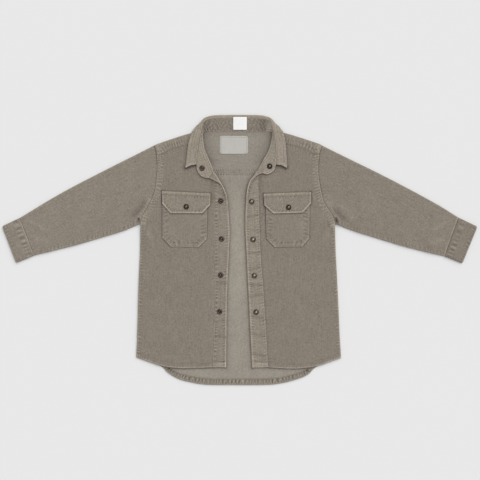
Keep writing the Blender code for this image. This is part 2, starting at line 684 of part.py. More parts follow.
def make_labels():
    plan = label_plan(*NECK_LABEL)
    panel("neck_label", plan, CLOTH + GAP, LABEL, "neck_label")
    plan = label_plan(*STAND_LABEL)
    neck, join = STAND_ROWS[-1]
    share = np.clip((plan[..., 1] - neck[1]) / (join[1] - neck[1]), 0, 1)
    stand = neck[2] + (join[2] - neck[2]) * share
    panel("stand_label", plan, stand + COLLAR / 2 + 2 * GAP, LABEL, "stand_label")


# Snaps

def snap_seat(place, centre):
    """Height of the cloth under a snap, at its highest point."""
    ring = [centre] + [(centre[0] + SNAP_RADIUS * math.cos(a), centre[1] + SNAP_RADIUS * math.sin(a))
                       for a in np.linspace(0, 2 * math.pi, 8, endpoint=False)]
    plan = np.array([ring], dtype=float)
    if place == "placket":
        return float(np.max(front_base(plan))) + PLACKET
    if place == "flap":
        return float(np.max(flap_base(plan))) + CLOTH
    return STAND_ROWS[3][0][2] + COLLAR / 2


def make_snap(name, kind, centre, height):
    profile = bpy.data.meshes.new(name)
    points = [(r * MM, 0.0, h * MM) for r, h in SNAP_PROFILE[kind]]
    profile.from_pydata(points, [(k, k + 1) for k in range(len(points) - 1)], [])
    profile.materials.append(bpy.data.materials["snap_metal"])
    snap = bpy.data.objects.new(name, profile)
    bpy.data.collections[COLLECTION].objects.link(snap)
    snap.location = (centre[0] * MM, centre[1] * MM, height * MM)
    turn = snap.modifiers.new("turn", "SCREW")
    turn.steps = SNAP_STEPS
    turn.render_steps = SNAP_STEPS
    turn.use_merge_vertices = True
    turn.merge_threshold = 0.00001
    turn.use_smooth_shade = True


def make_snaps():
    count = {}
    for side, place, centre, kind in SNAPS:
        key = "snap_" + place + "_" + side
        count[key] = count.get(key, 0) + 1
        name = key + "_" + str(count[key]) if place == "placket" else key
        make_snap(name, kind, centre, snap_seat(place, centre) + GAP)


def make_materials():
    for name, (colour, roughness, metallic) in FINISH.items():
        material = bpy.data.materials.new(name)
        material.use_nodes = True
        shader = material.node_tree.nodes["Principled BSDF"]
        shader.inputs["Base Color"].default_value = (*colour, 1.0)
        shader.inputs["Roughness"].default_value = roughness
        shader.inputs["Metallic"].default_value = metallic


def main():
    for old in list(bpy.data.objects):
        bpy.data.objects.remove(old, do_unlink=True)
    bpy.context.scene.collection.children.link(bpy.data.collections.new(COLLECTION))
    make_materials()
    make_back()
    make_yoke()
    make_back_hem()
    for side in ("left", "right"):
        make_front(side)
        make_placket(side)
        make_placket_facing(side)
        make_pocket(side)
        make_flap(side)
        make_sleeve(side)
        make_cuff(side)
    make_collar()
    make_labels()
    make_snaps()


main()
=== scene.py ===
import bpy
import math
import numpy as np
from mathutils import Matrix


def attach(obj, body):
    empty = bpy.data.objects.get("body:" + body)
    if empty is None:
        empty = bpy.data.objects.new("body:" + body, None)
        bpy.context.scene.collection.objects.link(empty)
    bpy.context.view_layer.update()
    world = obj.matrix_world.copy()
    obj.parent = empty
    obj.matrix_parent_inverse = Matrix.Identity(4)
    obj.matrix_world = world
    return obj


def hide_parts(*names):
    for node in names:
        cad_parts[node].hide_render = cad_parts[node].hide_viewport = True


# A child's corduroy overshirt laid flat, dressed over its solids. Tables are in millimetres.
# Left and right are the viewer's, seen from above.

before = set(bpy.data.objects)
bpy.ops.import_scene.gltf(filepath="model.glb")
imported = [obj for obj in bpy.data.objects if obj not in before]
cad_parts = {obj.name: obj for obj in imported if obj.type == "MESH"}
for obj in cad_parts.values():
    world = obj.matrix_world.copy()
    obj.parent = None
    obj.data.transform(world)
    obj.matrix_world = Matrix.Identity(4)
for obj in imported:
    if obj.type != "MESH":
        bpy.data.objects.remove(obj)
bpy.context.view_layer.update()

MM = 0.001
RNG = np.random.default_rng(11)

# Cloth
CLOTH = 1.4            # one ply of corduroy
PLACKET = 2.4          # folded front band
HEM_PLY = 1.05         # pressed hem strip
COLLAR = 1.4           # pressed collar leaf and stand
CUFF = 1.8             # one side of the cuff, with its facing
LABEL = 0.6            # woven label
GAP = 0.3              # clearance between pieces at seams
AIR = 0.5              # slack between the back and what lies on it
SEAM = 0.4             # clearance along sewn edges, seen from above
POCKET_GAP = 0.5       # clearance between a front, its pocket and its flap
FRONT_BASE = CLOTH + GAP
FACING_RISE = 0.3      # how much more than the band under it the turned corner bulges
FLAP_RISE = 8.0        # distance over which a flap rises from the front onto its pocket
AXIS_X = -4.2          # middle of the collar
SWING = 0.08           # how far the right half swings in below the shoulder, per millimetre
SHOULDER_Y = 225.0
RIPPLE = 0.16          # depth of the uneven lie
INSIDE_RIPPLE = 0.1    # the same on the inside of the back and of the yoke
CALM = 20.0            # distance from the inside yoke seam over which it sets in
WAVE_COUNT = 18        # waves that make the uneven lie, their lengths and what evens out their sum
WAVE_LENGTHS = (26, 95)
WAVE_SUM = 4.5
LEAST_ROOM = 0.1       # air left inside a fold
WALE = 1.75            # pitch of the corduroy ribs
PUCKER_PAINTED_SHADING = 0.5      # painted light on a pucker's crest and painted shade in its hollow, per millimetre of its height
CREASE_PAINTED_SHADING = 0.25     # painted light and shade of a crease, the same way
BAND_PALE = 0.18       # how much paler a raised band beside a seam is
BAND_SLOPE = 0.8       # half the width of its slope
ROW_DEPTH = 0.3        # groove along a row of stitches
ROW_WIDTH = 0.9
STITCH = 3.1           # pitch of the stitches
STITCH_LENGTH = 2.3
STITCH_START = 0.4
STITCH_RISE = 0.12     # height of a stitch over the cloth
STITCH_DIP = 0.35      # how far its ends go down
THREAD = 0.3           # half the thickness of the thread
FREE = (1.5, 0.65)     # rounding of a free edge: radius, share of the thickness
SEWN = (1.4, 0.3)      # rounding of a sewn edge
LEAST_FILL = 0.4       # least share of its flat rectangle that a cut piece fills
LEAST_CUT = 10.0       # narrowest cut

# Cells of the meshes
COARSE = 4             # fine cells to one cell of an underside
EDGE_STEPS = (0.0, 0.4, 0.9, 1.6)
CURVE_STEPS = 16       # points to a stretch of a curve
SEAM_STEP = 2.0
FLAP_STEP = 3.0        # along the top of a flap
PATH_STEP = 1.5        # along a row of stitches
REACH = 16.0           # how far from a seam its marks go
FAR = 1000.0           # distance given to points beyond that
CHUNK = 6000           # points measured at a time
CELL = {"front": 1.6, "back": 2.0, "hem": 1.2, "band": 1.3, "facing": 1.0, "pocket": 1.4, "flap": 1.2,
        "sleeve": 1.7, "cuff": 1.3, "collar": 1.0, "label": 0.9}

# Lightness of the pieces against their material, 1 where none is given; partly painted light: the collar is
# painted lighter for the light its tilt loses, and left and right copies of a piece differ
TONE = {"back_hem": 1.06, "placket_left": 1.12, "placket_right": 1.19, "placket_facing_left": 1.2,
        "placket_facing_right": 1.2, "pocket_left": 1.05, "pocket_right": 1.05, "flap_left": 1.11,
        "flap_right": 1.11, "sleeve_left": 1.09, "sleeve_right": 1.05, "cuff_left": 1.10, "cuff_right": 1.0,
        "collar_stand": 1.3, "collar_leaf": 1.315}
YOKE_TONE = 1.14       # outside of the yoke
YOKE_INSIDE_TONE = 0.895
SIDES = ("left", "right")

# Outlines seen from above. Armholes run from shoulder to armpit, and the yoke seams meet them at these rows
FRONT_YOKE_ROW = 1
BACK_YOKE_ROW = 3
ARMHOLE = {
    "left": [(-161.4, 199.4), (-157.4, 181.1), (-156, 163.5), (-156.8, 146), (-158.1, 131.5), (-159.9, 118.8),
             (-163.3, 105.5), (-168.4, 93.3), (-174.2, 81), (-180.8, 70.5), (-185.8, 61), (-188.2, 50)],
    "right": [(156.2, 199), (151.2, 184.8), (149.3, 165.5), (149.3, 147), (150.7, 132.7), (153, 119.5),
              (156, 105), (159, 93.5), (164, 83.5), (171.2, 73.5), (177.4, 63), (180.7, 50)],
}
SIDE_SEAM = {
    "left": [(-196.5, -203), (-194.6, -163), (-192.1, -72), (-189.2, 0), (-188.2, 50)],
    "right": [(192.5, -204), (189.9, -163), (185.8, -72), (182.1, 0), (180.7, 50)],
}
FRONT_HEM = {
    "left": [(-196.5, -203), (-155, -217.5), (-128, -223), (-95, -224.2), (-51.5, -222.5)],
    "right": [(192.5, -204), (150, -219), (120, -224), (96, -225), (54.2, -222.8)],
}
PLACKET_SEAM = {
    "left": [(-51.5, -222.5), (-47.7, -85), (-48.9, 0), (-48.9, 114), (-49.3, 151)],
    "right": [(54.2, -222.8), (45.6, -85), (39.3, 0), (35.7, 114), (35.2, 151)],
}
PLACKET_EDGE = {
    "left": [(-25.7, -222.8), (-24, -85), (-19.5, 19), (-20.2, 57), (-24.6, 104), (-35.6, 128),
             (-48.3, 149.8)],
    "right": [(23.1, -223.4), (16.2, -85), (11.1, 19), (10, 57), (12.4, 105), (18.5, 130),
              (33.6, 149.4)],
}
SHOULDER_FOLD = {
    "left": [(-161.4, 199.4), (-153, 203), (-111.6, 217), (-89.6, 223), (-79.5, 225.3)],
    "right": [(156.2, 199), (148, 203), (106.9, 216.5), (81.2, 223.8), (70.5, 225.5)],
}
FRONT_YOKE_SEAM = {
    "left": [(-157.4, 181.1), (-151.5, 180.8), (-145.5, 183.3), (-133, 190.5), (-98.5, 201.3), (-79.5, 206)],
    "right": [(151.2, 184.8), (143.5, 182.8), (137, 184.2), (129, 189.5), (113, 196.2),
              (90, 201.5), (69.7, 206)],
}
YOKE_NECK = [(-77.6, 225.6), (-74, 226.6), (-66, 228.2), (-40, 228.2), (AXIS_X, 228.2),
             (30, 228.2), (57, 228.2), (65.5, 226.6), (68.6, 225.6)]
NECK_EDGE = 1.6        # turned edge of the yoke along the back neck
NECK_SEAM = [(-49.3, 151), (-58, 164), (-66, 175), (-74, 185.5), (-78, 196), (-79.5, 206)]
TURN_EDGE = {
    "left": [(-57.5, 136.6), (-47, 131.3), (-38.7, 126.7), (-33.2, 120), (-24.6, 97)],
    "right": [(44.4, 146), (38.4, 144.4), (33.2, 141.6), (25.5, 135), (19.5, 127), (12.6, 98)],
}
TURN_ROLL = {
    "left": [(-50.2, 149), (-43.4, 140), (-35.6, 128), (-29.5, 114.6), (-24, 97)],
    "right": [(44.1, 170.2), (40.4, 163.6), (35.4, 154.4), (28.5, 144.4), (19.2, 132),
              (14.5, 117.6), (12.1, 98)],
}
BACK_HEM = [(-196.5, -203), (-155, -217.5), (-134, -234), (-115, -244.5), (-88, -251.5), (-62, -255),
            (-22, -255.5), (41, -255.4), (73, -253.3), (104, -246.2), (128, -236.7), (150, -219),
            (192.5, -204)]
HEM_TURN_UP = 10.5
HEM_STRIP_ENDS = (-141.0, 136.0)
HEM_POINTS = 81
SLEEVE_TOP = {
    "left": [(-161.8, 199.2), (-190, 185), (-265.5, 147), (-341.5, 107), (-417.6, 61.4)],
    "right": [(156.6, 198.8), (190.5, 182), (281.7, 137), (367.2, 91.5), (415.2, 62.2)],
}
SLEEVE_BOTTOM = {
    "left": [(-188.8, 50.6), (-208.5, 42), (-227.5, 34.6), (-303.5, 12), (-341.5, 2.3), (-389.8, -9.6)],
    "right": [(181.3, 50.6), (202, 42), (222.8, 34.6), (297, 11.8), (338.7, 0.5), (388.5, -11.3)],
}
CUFF_CORNERS = {
    "left": {"seam": [(-418.1, 61.2), (-390.2, -9.9)], "end": [(-451.2, 45.6), (-424.4, -24.1)]},
    "right": {"seam": [(415.7, 62), (389, -11.6)], "end": [(451.2, 44.8), (422.8, -24.7)]},
}
POCKET_CORNERS = {
    "left": {"top": [(-147, 105), (-61.3, 100.5)], "side": [(-147, 23.8), (-63, 21)],
             "bottom": [(-130.4, 6.5), (-79, 5)]},
    "right": {"top": [(132.7, 104), (48.7, 100.5)], "side": [(132.1, 22.8), (50.8, 21.8)],
              "bottom": [(118.1, 6.5), (66.8, 5.5)]},
}
FLAP_CORNERS = {
    "left": {"top": [(-147.5, 112.5), (-55.2, 107.7)], "side": [(-147.2, 88.3), (-56.1, 85.9)],
             "bottom": [(-131.4, 69.9), (-70.8, 69.9)]},
    "right": {"top": [(135.4, 110.6), (44.9, 107.2)], "side": [(135, 88.3), (46.5, 84.9)],
              "bottom": [(119.4, 70.8), (63.9, 69.4)]},
}

# Collar stand, left front end to centre back: rolled neck edge, seam with the leaf
STAND_ROWS = [
    ((-50.4, 149.4, 6.1), (-57.6, 137.0, 5.9)),
    ((-51.0, 152.0, 5.8), (-65.5, 137.6, 5.5)),
    ((-52.0, 155.5, 5.3), (-73.6, 141.6, 5.3)),
    ((-53.4, 160.0, 5.2), (-78.8, 148.6, 5.2)),
    ((-56.0, 167.0, 5.0), (-81.8, 159.0, 5.3)),
    ((-60.8, 177.8, 4.7), (-81.2, 173.0, 6.4)),
    ((-66.2, 190.5, 4.4), (-79.0, 189.0, 7.2)),
    ((-69.0, 205.0, 4.3), (-76.8, 206.0, 7.4)),
    ((-69.8, 216.0, 4.3), (-73.6, 219.0, 7.4)),
    ((-69.2, 223.2, 3.7), (-71.4, 227.0, 7.2)),
    ((-68.0, 224.8, 2.7), (-70.6, 232.5, 6.8)),
    ((-66.0, 225.0, 2.1), (-69.6, 238.0, 6.0)),
    ((-63.0, 225.0, 1.9), (-66.3, 243.4, 4.9)),
    ((-58.0, 224.9, 1.8), (-60.0, 246.9, 4.2)),
    ((-48.0, 224.8, 1.8), (-48.5, 248.6, 3.6)),
    ((-30.0, 224.7, 1.8), (-30.0, 248.9, 3.5)),
    ((AXIS_X, 224.7, 1.8), (AXIS_X, 249.0, 3.5)),
]
# The same at the right front end, which ends higher up
STAND_END = [
    ((44.2, 170.4, 5.5), (44.4, 145.6, 5.8)),
    ((45.1, 172.2, 5.4), (51.8, 144.5, 5.5)),
    ((46.0, 173.8, 5.2), (59.4, 147.4, 5.3)),
    ((46.8, 175.2, 5.0), (64.8, 152.6, 5.2)),
    ((47.6, 176.5, 4.8), (67.9, 160.8, 5.3)),
]
# Collar leaf, left tip to centre back: seam with the stand, bend, free edge
LEAF_ROWS = [
    ((-82.6, 162.4, 6.2), (-93.0, 161.0), (-103.0, 156.0, 7.6)),
    ((-82.0, 171.0, 6.6), (-92.5, 169.5), (-102.0, 168.5, 6.0)),
    ((-79.8, 190.0, 7.2), (-90.0, 189.0), (-99.6, 188.0, 5.1)),
    ((-77.6, 206.0, 7.4), (-87.8, 205.5), (-97.2, 205.0, 5.1)),
    ((-74.4, 219.3, 7.4), (-84.2, 218.3), (-93.4, 216.8, 5.1)),
    ((-72.2, 227.4, 7.2), (-82.2, 226.0), (-91.0, 224.6, 5.1)),
    ((-71.3, 232.9, 6.8), (-80.6, 231.2), (-88.0, 228.6, 4.2)),
    ((-70.2, 238.6, 6.0), (-77.5, 237.4), (-83.5, 234.6, 3.0)),
    ((-66.8, 244.1, 4.9), (-73.0, 244.2), (-79.5, 236.0, 1.6)),
    ((-60.4, 247.6, 4.2), (-65.0, 251.6), (-70.0, 231.5, 0.95)),
    ((-48.6, 249.3, 3.6), (-50.0, 255.3), (-50.0, 228.4, 0.75)),
    ((-30.0, 249.6, 3.6), (-30.0, 256.2), (-30.0, 228.2, 0.75)),
    ((AXIS_X, 249.7, 3.6), (AXIS_X, 256.2), (AXIS_X, 228.2, 0.75)),
]
FLAT_STEPS = 3         # cells of half a leaf row: its flat part and its rolled part
ROLL_STEPS = 4
ROLL_LIMIT = 0.9       # most of a half row that the roll takes
ROW_STEPS = 8          # rows of the mesh to a row of these tables
JOIN = 0.12            # how far the collar's two pieces reach together at their seam, in cells
# Labels: left, bottom, right, top, corner
NECK_LABEL = (-38.0, 183.0, 15.5, 217.0, 3.5)
STAND_LABEL = (-12.4, 228.6, 13.4, 252.8, 1.0)

# Soft folds that the solids have too: from (x, y) to (x, y), half width, height
FOLDS = [
    (-188, 46, -172, 10, 10, 1.3),
    (-176, 98, -198, 54, 6, 1.6),
    (-118, -30, -128, -200, 28, 1.0),
    (-72, -70, -66, -205, 20, 0.8),
    (-172, -60, -176, -170, 18, 0.7),
    (-46, 140, -30, 96, 12, 1.0),
    (180, 44, 162, 8, 10, 1.3),
    (166, 96, 190, 54, 6, 1.6),
    (104, -40, 118, -200, 28, 1.0),
    (72, -80, 66, -205, 20, 0.8),
    (34, 142, 18, 96, 12, 0.8),
    (-228, 150, -238, 48, 20, 1.2),
    (-300, 112, -318, 26, 22, 1.0),
    (-372, 76, -366, 4, 16, 1.2),
    (222, 150, 232, 46, 20, 1.2),
    (296, 112, 312, 24, 22, 1.0),
    (368, 76, 362, 2, 16, 1.2),
]
# Finer creases and hollows, laid over all the layers: same columns
CREASES = [
    (-53, 148, -51.5, 96, 5, -0.5),
    (41, 148, 38.5, 100, 5, -0.4),
    (-50.8, 108, -30, 101, 3, 0.45),
    (-49, 92, -34, 97, 3, 0.35),
    (37, 106, 24, 99, 3, 0.35),
    (-175.3, 53.6, -179, 34, 3, -0.6),
    (-183, 52, -168, 22, 4, 0.5),
    (168, 52, 172, 34, 3, -0.5),
    (176, 50, 160, 20, 4, 0.5),
    (-200, 66, -181, 87, 6.5, -0.9),
    (181, 74, 196, 59, 5.5, -1.0),
    (192, 82, 214, 62, 6, 0.4),
    (-395, 52, -372, 40, 4, 0.5),
    (-388, 20, -366, 16, 4, 0.5),
    (392, 52, 370, 40, 4, 0.5),
    (386, 20, 364, 16, 4, 0.5),
    (15, -6.5, 37, -4.6, 2.6, -0.8),
    (18, -2, 38, 0, 2.6, 0.4),
    (17, -37.6, 38, -32, 3.0, -0.6),
    (18, -66.4, 40, -66.9, 3.0, -0.75),
    (20, -60.5, 40, -60, 3.0, 0.35),
    (20, -89, 41.5, -84.6, 2.8, -0.7),
    (24, -127, 44, -130.4, 3.0, -0.75),
    (22, -107.6, 42, -107, 2.8, 0.3),
    (22, -160, 46, -163, 3.0, -0.6),
    (24, -197.4, 48, -202.6, 2.8, -0.8),
    (-43.5, -62.4, -25, -63.8, 2.8, -0.7),
    (-46, -161.9, -27, -166.8, 2.8, -0.7),
    (-46, -138, -26, -133, 2.4, -0.4),
    (-42, 108.2, -28.2, 101.6, 2.0, -0.8),
    (14, 62, 34, 66, 2.4, -0.8),
    (13, 40, 36, 34, 2.4, -0.4),
]
SNAPS = [
    ("left", "placket", (-35.8, 94.0), "socket"),
    ("left", "placket", (-34.5, 21.7), "socket"),
    ("left", "placket", (-36.2, -47.1), "socket"),
    ("left", "placket", (-38.3, -116.3), "socket"),
    ("right", "placket", (22.6, 92.5), "cap"),
    ("right", "placket", (25.4, 20.5), "cap"),
    ("right", "placket", (27.8, -48.1), "cap"),
    ("right", "placket", (31.1, -117.4), "cap"),
    ("left", "stand", (-71.5, 155.8), "socket"),
    ("right", "stand", (56.9, 159.4), "cap"),
    ("left", "flap", (-101.4, 82.6), "cap"),
    ("right", "flap", (92.8, 81.5), "cap"),
]
# Turned profiles of the snaps, centre to rim: (radius, height)
SNAP_PROFILE = {
    "cap": [(0, 1.75), (1.3, 1.72), (2.1, 1.5), (2.5, 1.15), (2.8, 1.1), (3.1, 1.45), (3.6, 1.85), (4.2, 1.8),
            (4.8, 1.4), (5.2, 0.8), (5.3, 0.3), (5.2, -0.2)],
    "socket": [(0, 1.5), (0.7, 1.45), (1.1, 1.1), (1.3, 0.5), (2.0, 0.45), (2.4, 0.8), (2.7, 1.6),
               (3.3, 1.95), (4.1, 1.85), (4.8, 1.3), (5.2, 0.7), (5.3, 0.3), (5.2, -0.2)],
}
# Painted highlight and shade of the metal from centre to rim: (radius, factor)
SNAP_HIGHLIGHT = {
    "cap": [(0, 4.5), (1.5, 3.8), (2.2, 1.6), (2.7, 0.5), (3.2, 0.8), (4.2, 1.3), (4.8, 0.7), (5.3, 0.4)],
    "socket": [(0, 3.0), (0.8, 2.4), (1.3, 0.3), (2.4, 0.35), (3.0, 0.9), (4.0, 1.1), (4.8, 0.6), (5.3, 0.4)],
}
# How much weaker the painted highlight of some of them is
SNAP_HIGHLIGHT_DIMMING = {"snap_flap_left": 0.45, "snap_flap_right": 0.55, "snap_stand_right": 0.4}
SNAP_STEPS = 48        # points round a snap
PROFILE_STEP = 4       # every so many points of the smooth profile are kept


# Plane curves and patches

def between(a, b, c, d, t):
    """Catmull-Rom curve from b to c."""
    return 0.5 * (2 * b + (c - a) * t + (2 * a - 5 * b + 4 * c - d) * t ** 2
                  + (3 * b - a - 3 * c + d) * t ** 3)


def dense(points):
    """A fine polyline along a smooth curve through the points."""
    pts = np.array(points, dtype=float)
    padded = np.vstack([2 * pts[0] - pts[1], pts, 2 * pts[-1] - pts[-2]])
    t = np.linspace(0, 1, CURVE_STEPS, endpoint=False)[:, None]
    runs = [between(*four, t) for four in zip(padded, padded[1:], padded[2:], padded[3:])]
    return np.vstack(runs + [pts[-1:]])


def lengths(line):
    """Length run up to each point of a polyline."""
    return np.concatenate([[0], np.cumsum(np.linalg.norm(np.diff(line, axis=0), axis=1))])


def running(grid, axis):
    """Length run up to each point of a grid, down its columns or along its rows."""
    steps = np.cumsum(np.linalg.norm(np.diff(grid, axis=axis), axis=2), axis=axis)
    return np.insert(steps, 0, 0.0, axis=axis)


def at(line, places):
    """Points at the given shares of a polyline's length."""
    line = np.array(line, dtype=float)
    along = lengths(line)
    wanted = np.asarray(places) * along[-1]
    return np.stack([np.interp(wanted, along, line[:, k]) for k in range(line.shape[1])], axis=1)


def even(line, step):
    """A polyline cut into equal lengths of about the given step."""
    count = max(2, int(round(lengths(np.array(line, dtype=float))[-1] / step)))
    return at(line, np.linspace(0, 1, count + 1))


def chain(*stretches):
    """Stretches joined end to end."""
    return np.vstack([stretches[0]] + [s[1:] for s in stretches[1:]])


def shares(length, step):
    """Even shares of a length, closer together at both ends, in a number of cells that COARSE divides."""
    ends = np.array(EDGE_STEPS)
    inner = max(2, int(round((length - 2 * ends[-1]) / step)))
    inner += (2 - inner) % COARSE
    middle = np.linspace(ends[-1], length - ends[-1], inner + 1)
    return np.concatenate([ends[:-1], middle, length - ends[-2::-1]]) / length


def patch(bottom, top, left, right, step):
    """Coons patch between four edges: rows run from bottom to top, columns from left to right."""
    u = shares((lengths(bottom)[-1] + lengths(top)[-1]) / 2, step)
    v = shares((lengths(left)[-1] + lengths(right)[-1]) / 2, step)
    low, high = at(bottom, u), at(top, u)
    one, other = at(left, v), at(right, v)
    u = u[None, :, None]
    v = v[:, None, None]
    corners = ((1 - u) * (1 - v) * low[0] + u * (1 - v) * low[-1]
               + (1 - u) * v * high[0] + u * v * high[-1])
    return (1 - v) * low[None] + v * high[None] + (1 - u) * one[:, None] + u * other[:, None] - corners


def ruled(left, right, step):
    """Patch between two lines, straight across."""
    return patch(np.array([left[0], right[0]]), np.array([left[-1], right[-1]]), left, right, step)


def mirrored(point):
    """A point of the left half carried to the right half, swung in below the shoulder."""
    x = 2 * AXIS_X - point[0] - SWING * max(SHOULDER_Y - point[1], 0.0)
    return (x,) + tuple(point[1:])


def on_side(side, points):
    """Points given for the left half, on the side asked for."""
    return points if side == "left" else [mirrored(p) for p in points]


def near(line, x, y, reach=REACH):
    """Place along a polyline and distance from it, for points within reach of it."""
    s = np.zeros(len(x))
    d = np.full(len(x), FAR)
    low = line.min(axis=0) - reach
    high = line.max(axis=0) + reach
    pick = np.nonzero((x > low[0]) & (x < high[0]) & (y > low[1]) & (y < high[1]))[0]
    run = np.diff(line, axis=0)
    size = np.linalg.norm(run, axis=1)
    along = lengths(line)
    for part in np.array_split(pick, max(1, len(pick) // CHUNK)):
        if len(part) == 0:
            continue
        px = x[part][:, None] - line[:-1, 0]
        py = y[part][:, None] - line[:-1, 1]
        t = np.clip((px * run[:, 0] + py * run[:, 1]) / size ** 2, 0, 1)
        off = np.hypot(px - t * run[:, 0], py - t * run[:, 1])
        k = np.argmin(off, axis=1)
        rows = np.arange(len(part))
        d[part] = off[rows, k]
        s[part] = along[k] + t[rows, k] * size[k]
    return s, d


def ridges(table, x, y):
    """Height of a table of folds."""
    height = np.zeros(np.shape(x))
    for x0, y0, x1, y1, width, rise in table:
        run = np.array([x1 - x0, y1 - y0], dtype=float)
        length = np.linalg.norm(run)
        run /= length
        along = (x - x0) * run[0] + (y - y0) * run[1]
        off = (x - x0) * run[1] - (y - y0) * run[0]
        beyond = np.maximum(0, np.abs(along - length / 2) - length / 2)
        height = height + rise * np.exp(-(off ** 2 + beyond ** 2) / width ** 2)
    return height


WAVES = [(RNG.uniform(0, 2 * math.pi), 2 * math.pi / RNG.uniform(*WAVE_LENGTHS), RNG.uniform(0, 2 * math.pi))
         for _ in range(WAVE_COUNT)]


def ripple(x, y):
    """Uneven lie of washed cloth, about 0 to plus or minus 1."""
    total = np.zeros(np.shape(x))
    for heading, number, phase in WAVES:
        total = total + np.sin(number * (x * math.cos(heading) + y * math.sin(heading)) + phase)
    return total / WAVE_SUM


def lift(x, y):
    """Height of the slack and the soft folds above the flat layer."""
    return AIR + ridges(FOLDS, x, y)


def soft(x, y):
    """Finer creases and the uneven lie on top of that."""
    return ridges(CREASES, x, y) + RIPPLE * ripple(x, y)


def level(x, y):
    """No height at all."""
    return np.zeros(np.shape(x))


# Sewn lines

def seam(line, **marks):
    """A sewn or cut line of a piece with its marks:
    pucks (from, to, height, pitch, slant; painted light on their crests, painted shade in their hollows),
    rows of stitches (distances; painted shade in their grooves), wear (width, amount),
    rim (radius, share of the thickness), band (width, rise), groove (distance, width, amount of painted shade
    in it), dark (width, amount of painted shade along the line, painted light where negative), and reach, how
    far all of them go."""
    return dict(marks, line=even(line, SEAM_STEP), phase=RNG.uniform(0, 2 * math.pi, 6))


def bell(d, place, width):
    """1 at a place, less and less beside it."""
    return np.exp(-((d - place) / width) ** 2)


def worn(d, width):
    """1 in a strip along an edge, 0 beyond it."""
    return np.exp(-(d / width) ** 4)


def rim(d, radius, share, thick):
    """How much lower a rounded edge is."""
    return share * thick * np.clip(1 - d / radius, 0, 1) ** 2


def detail(x, y, seams, thick):
    """Height and tone that the sewn lines add at points of a piece; the tone holds wear, paler bands, and
    painted light and shade.
    """
    shape = np.shape(x)
    x = np.ravel(x)
    y = np.ravel(y)
    height = np.zeros(len(x))
    tone = np.zeros(len(x))
    for item in seams:
        s, d = near(item["line"], x, y, item.get("reach", REACH))
        p = item["phase"]
        slow = 0.5 + 0.5 * np.sin(s / 19 + p[3]) * np.sin(s / 7.7 + p[4])
        if "band" in item:
            width, rise = item["band"]
            raise_up = 0.5 * (1 + np.tanh((width - d) / BAND_SLOPE))
            height += rise * raise_up
            tone += BAND_PALE * raise_up
        for start, end, rise, pitch, slant in item.get("pucks", ()):
            inside = np.clip((d - start) / (end - start), 0, 1)
            window = np.sin(math.pi * inside) ** 0.7 * (d < end) * (d > start)
            turn = s / pitch + 0.3 * np.sin(s / 13 + p[0]) + 0.22 * np.sin(s / 5.3 + p[1])
            turn = turn + slant * d / pitch
            wave = np.sin(2 * math.pi * turn + p[2]) * (0.4 + 0.8 * slow)
            height += rise * window * wave
            # painted light on the crests of the puckers and painted shade in their hollows
            tone += PUCKER_PAINTED_SHADING * rise * window * wave
        for row in item.get("rows", ()):
            dip = bell(d, row, ROW_WIDTH)
            holes = 0.5 + 0.5 * np.cos(2 * math.pi * s / (1.2 * STITCH) + p[5])
            height -= ROW_DEPTH * dip
            # painted shade in the row's groove and at its stitch holes
            tone -= dip * (0.05 + 0.2 * holes * slow)
        if "wear" in item:
            width, amount = item["wear"]
            tone += amount * worn(d, width) * (0.6 + 0.5 * slow)
        if "groove" in item:
            place, width, amount = item["groove"]
            dip = bell(d, place, width)
            height -= ROW_DEPTH * dip
            # painted shade in the groove, painted light where the amount is negative
            tone -= amount * dip
        # painted shade along the line, painted light where the amount is negative
        if "dark" in item:
            width, amount = item["dark"]
            tone -= amount * bell(d, 0.0, width)
        if "rim" in item:
            radius, share = item["rim"]
            height -= rim(d, radius, share, thick)
    return height.reshape(shape), tone.reshape(shape)


# Meshes

def rim_faces(fine, coarse):
    """Triangles between a loop of fine points and the coarse loop below it."""
    faces = []
    step = len(fine) // len(coarse)
    half = step // 2
    for k, a in enumerate(coarse):
        b = coarse[(k + 1) % len(coarse)]
        loop = [fine[(k * step + i) % len(fine)] for i in range(step + 1)]
        for i in range(step):
            faces.append((loop[i + 1], loop[i], a if i < half else b))
        faces.append((loop[half], a, b))
    return faces


def border(index):
    """Loop of points round a grid."""
    return list(index[0]) + list(index[1:, -1]) + list(index[-1, -2::-1]) + list(index[-2:0:-1, 0])


def quads(index, wrap):
    if wrap:
        index = np.hstack([index, index[:, :1]])
    return np.stack([index[:-1, :-1], index[:-1, 1:], index[1:, 1:], index[1:, :-1]], axis=-1).reshape(-1, 4)


def placed(name, data):
    """An object in the scene for a mesh, light or camera."""
    thing = bpy.data.objects.new(name, data)
    bpy.context.scene.collection.objects.link(thing)
    return thing


def mesh_object(name, points, four, three, material):
    """An object from arrays of points, quads and triangles, in millimetres, faces out."""
    points = np.asarray(points, dtype=float)
    three = np.asarray(three, dtype=np.int64).reshape(-1, 3)
    four = np.asarray(four, dtype=np.int64).reshape(-1, 4)
    tri = np.vstack([three, four[:, :3], four[:, [0, 2, 3]]])
    a, b, c = points[tri[:, 0]], points[tri[:, 1]], points[tri[:, 2]]
    if np.einsum("ij,ij->i", a, np.cross(b, c)).sum() < 0:
        three = three[:, ::-1]
        four = four[:, ::-1]
    mesh = bpy.data.meshes.new(name)
    mesh.vertices.add(len(points))
    mesh.vertices.foreach_set("co", (points * MM).ravel())
    corners = np.concatenate([four.ravel(), three.ravel()])
    mesh.loops.add(len(corners))
    mesh.loops.foreach_set("vertex_index", corners)
    starts = np.concatenate([np.arange(len(four)) * 4, 4 * len(four) + np.arange(len(three)) * 3])
    mesh.polygons.add(len(starts))
    mesh.polygons.foreach_set("loop_start", starts)
    mesh.update(calc_edges=True)
    mesh.validate()
    mesh.shade_smooth()
    mesh.materials.append(material)
    piece = placed(name, mesh)
    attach(piece, "root")
    return piece


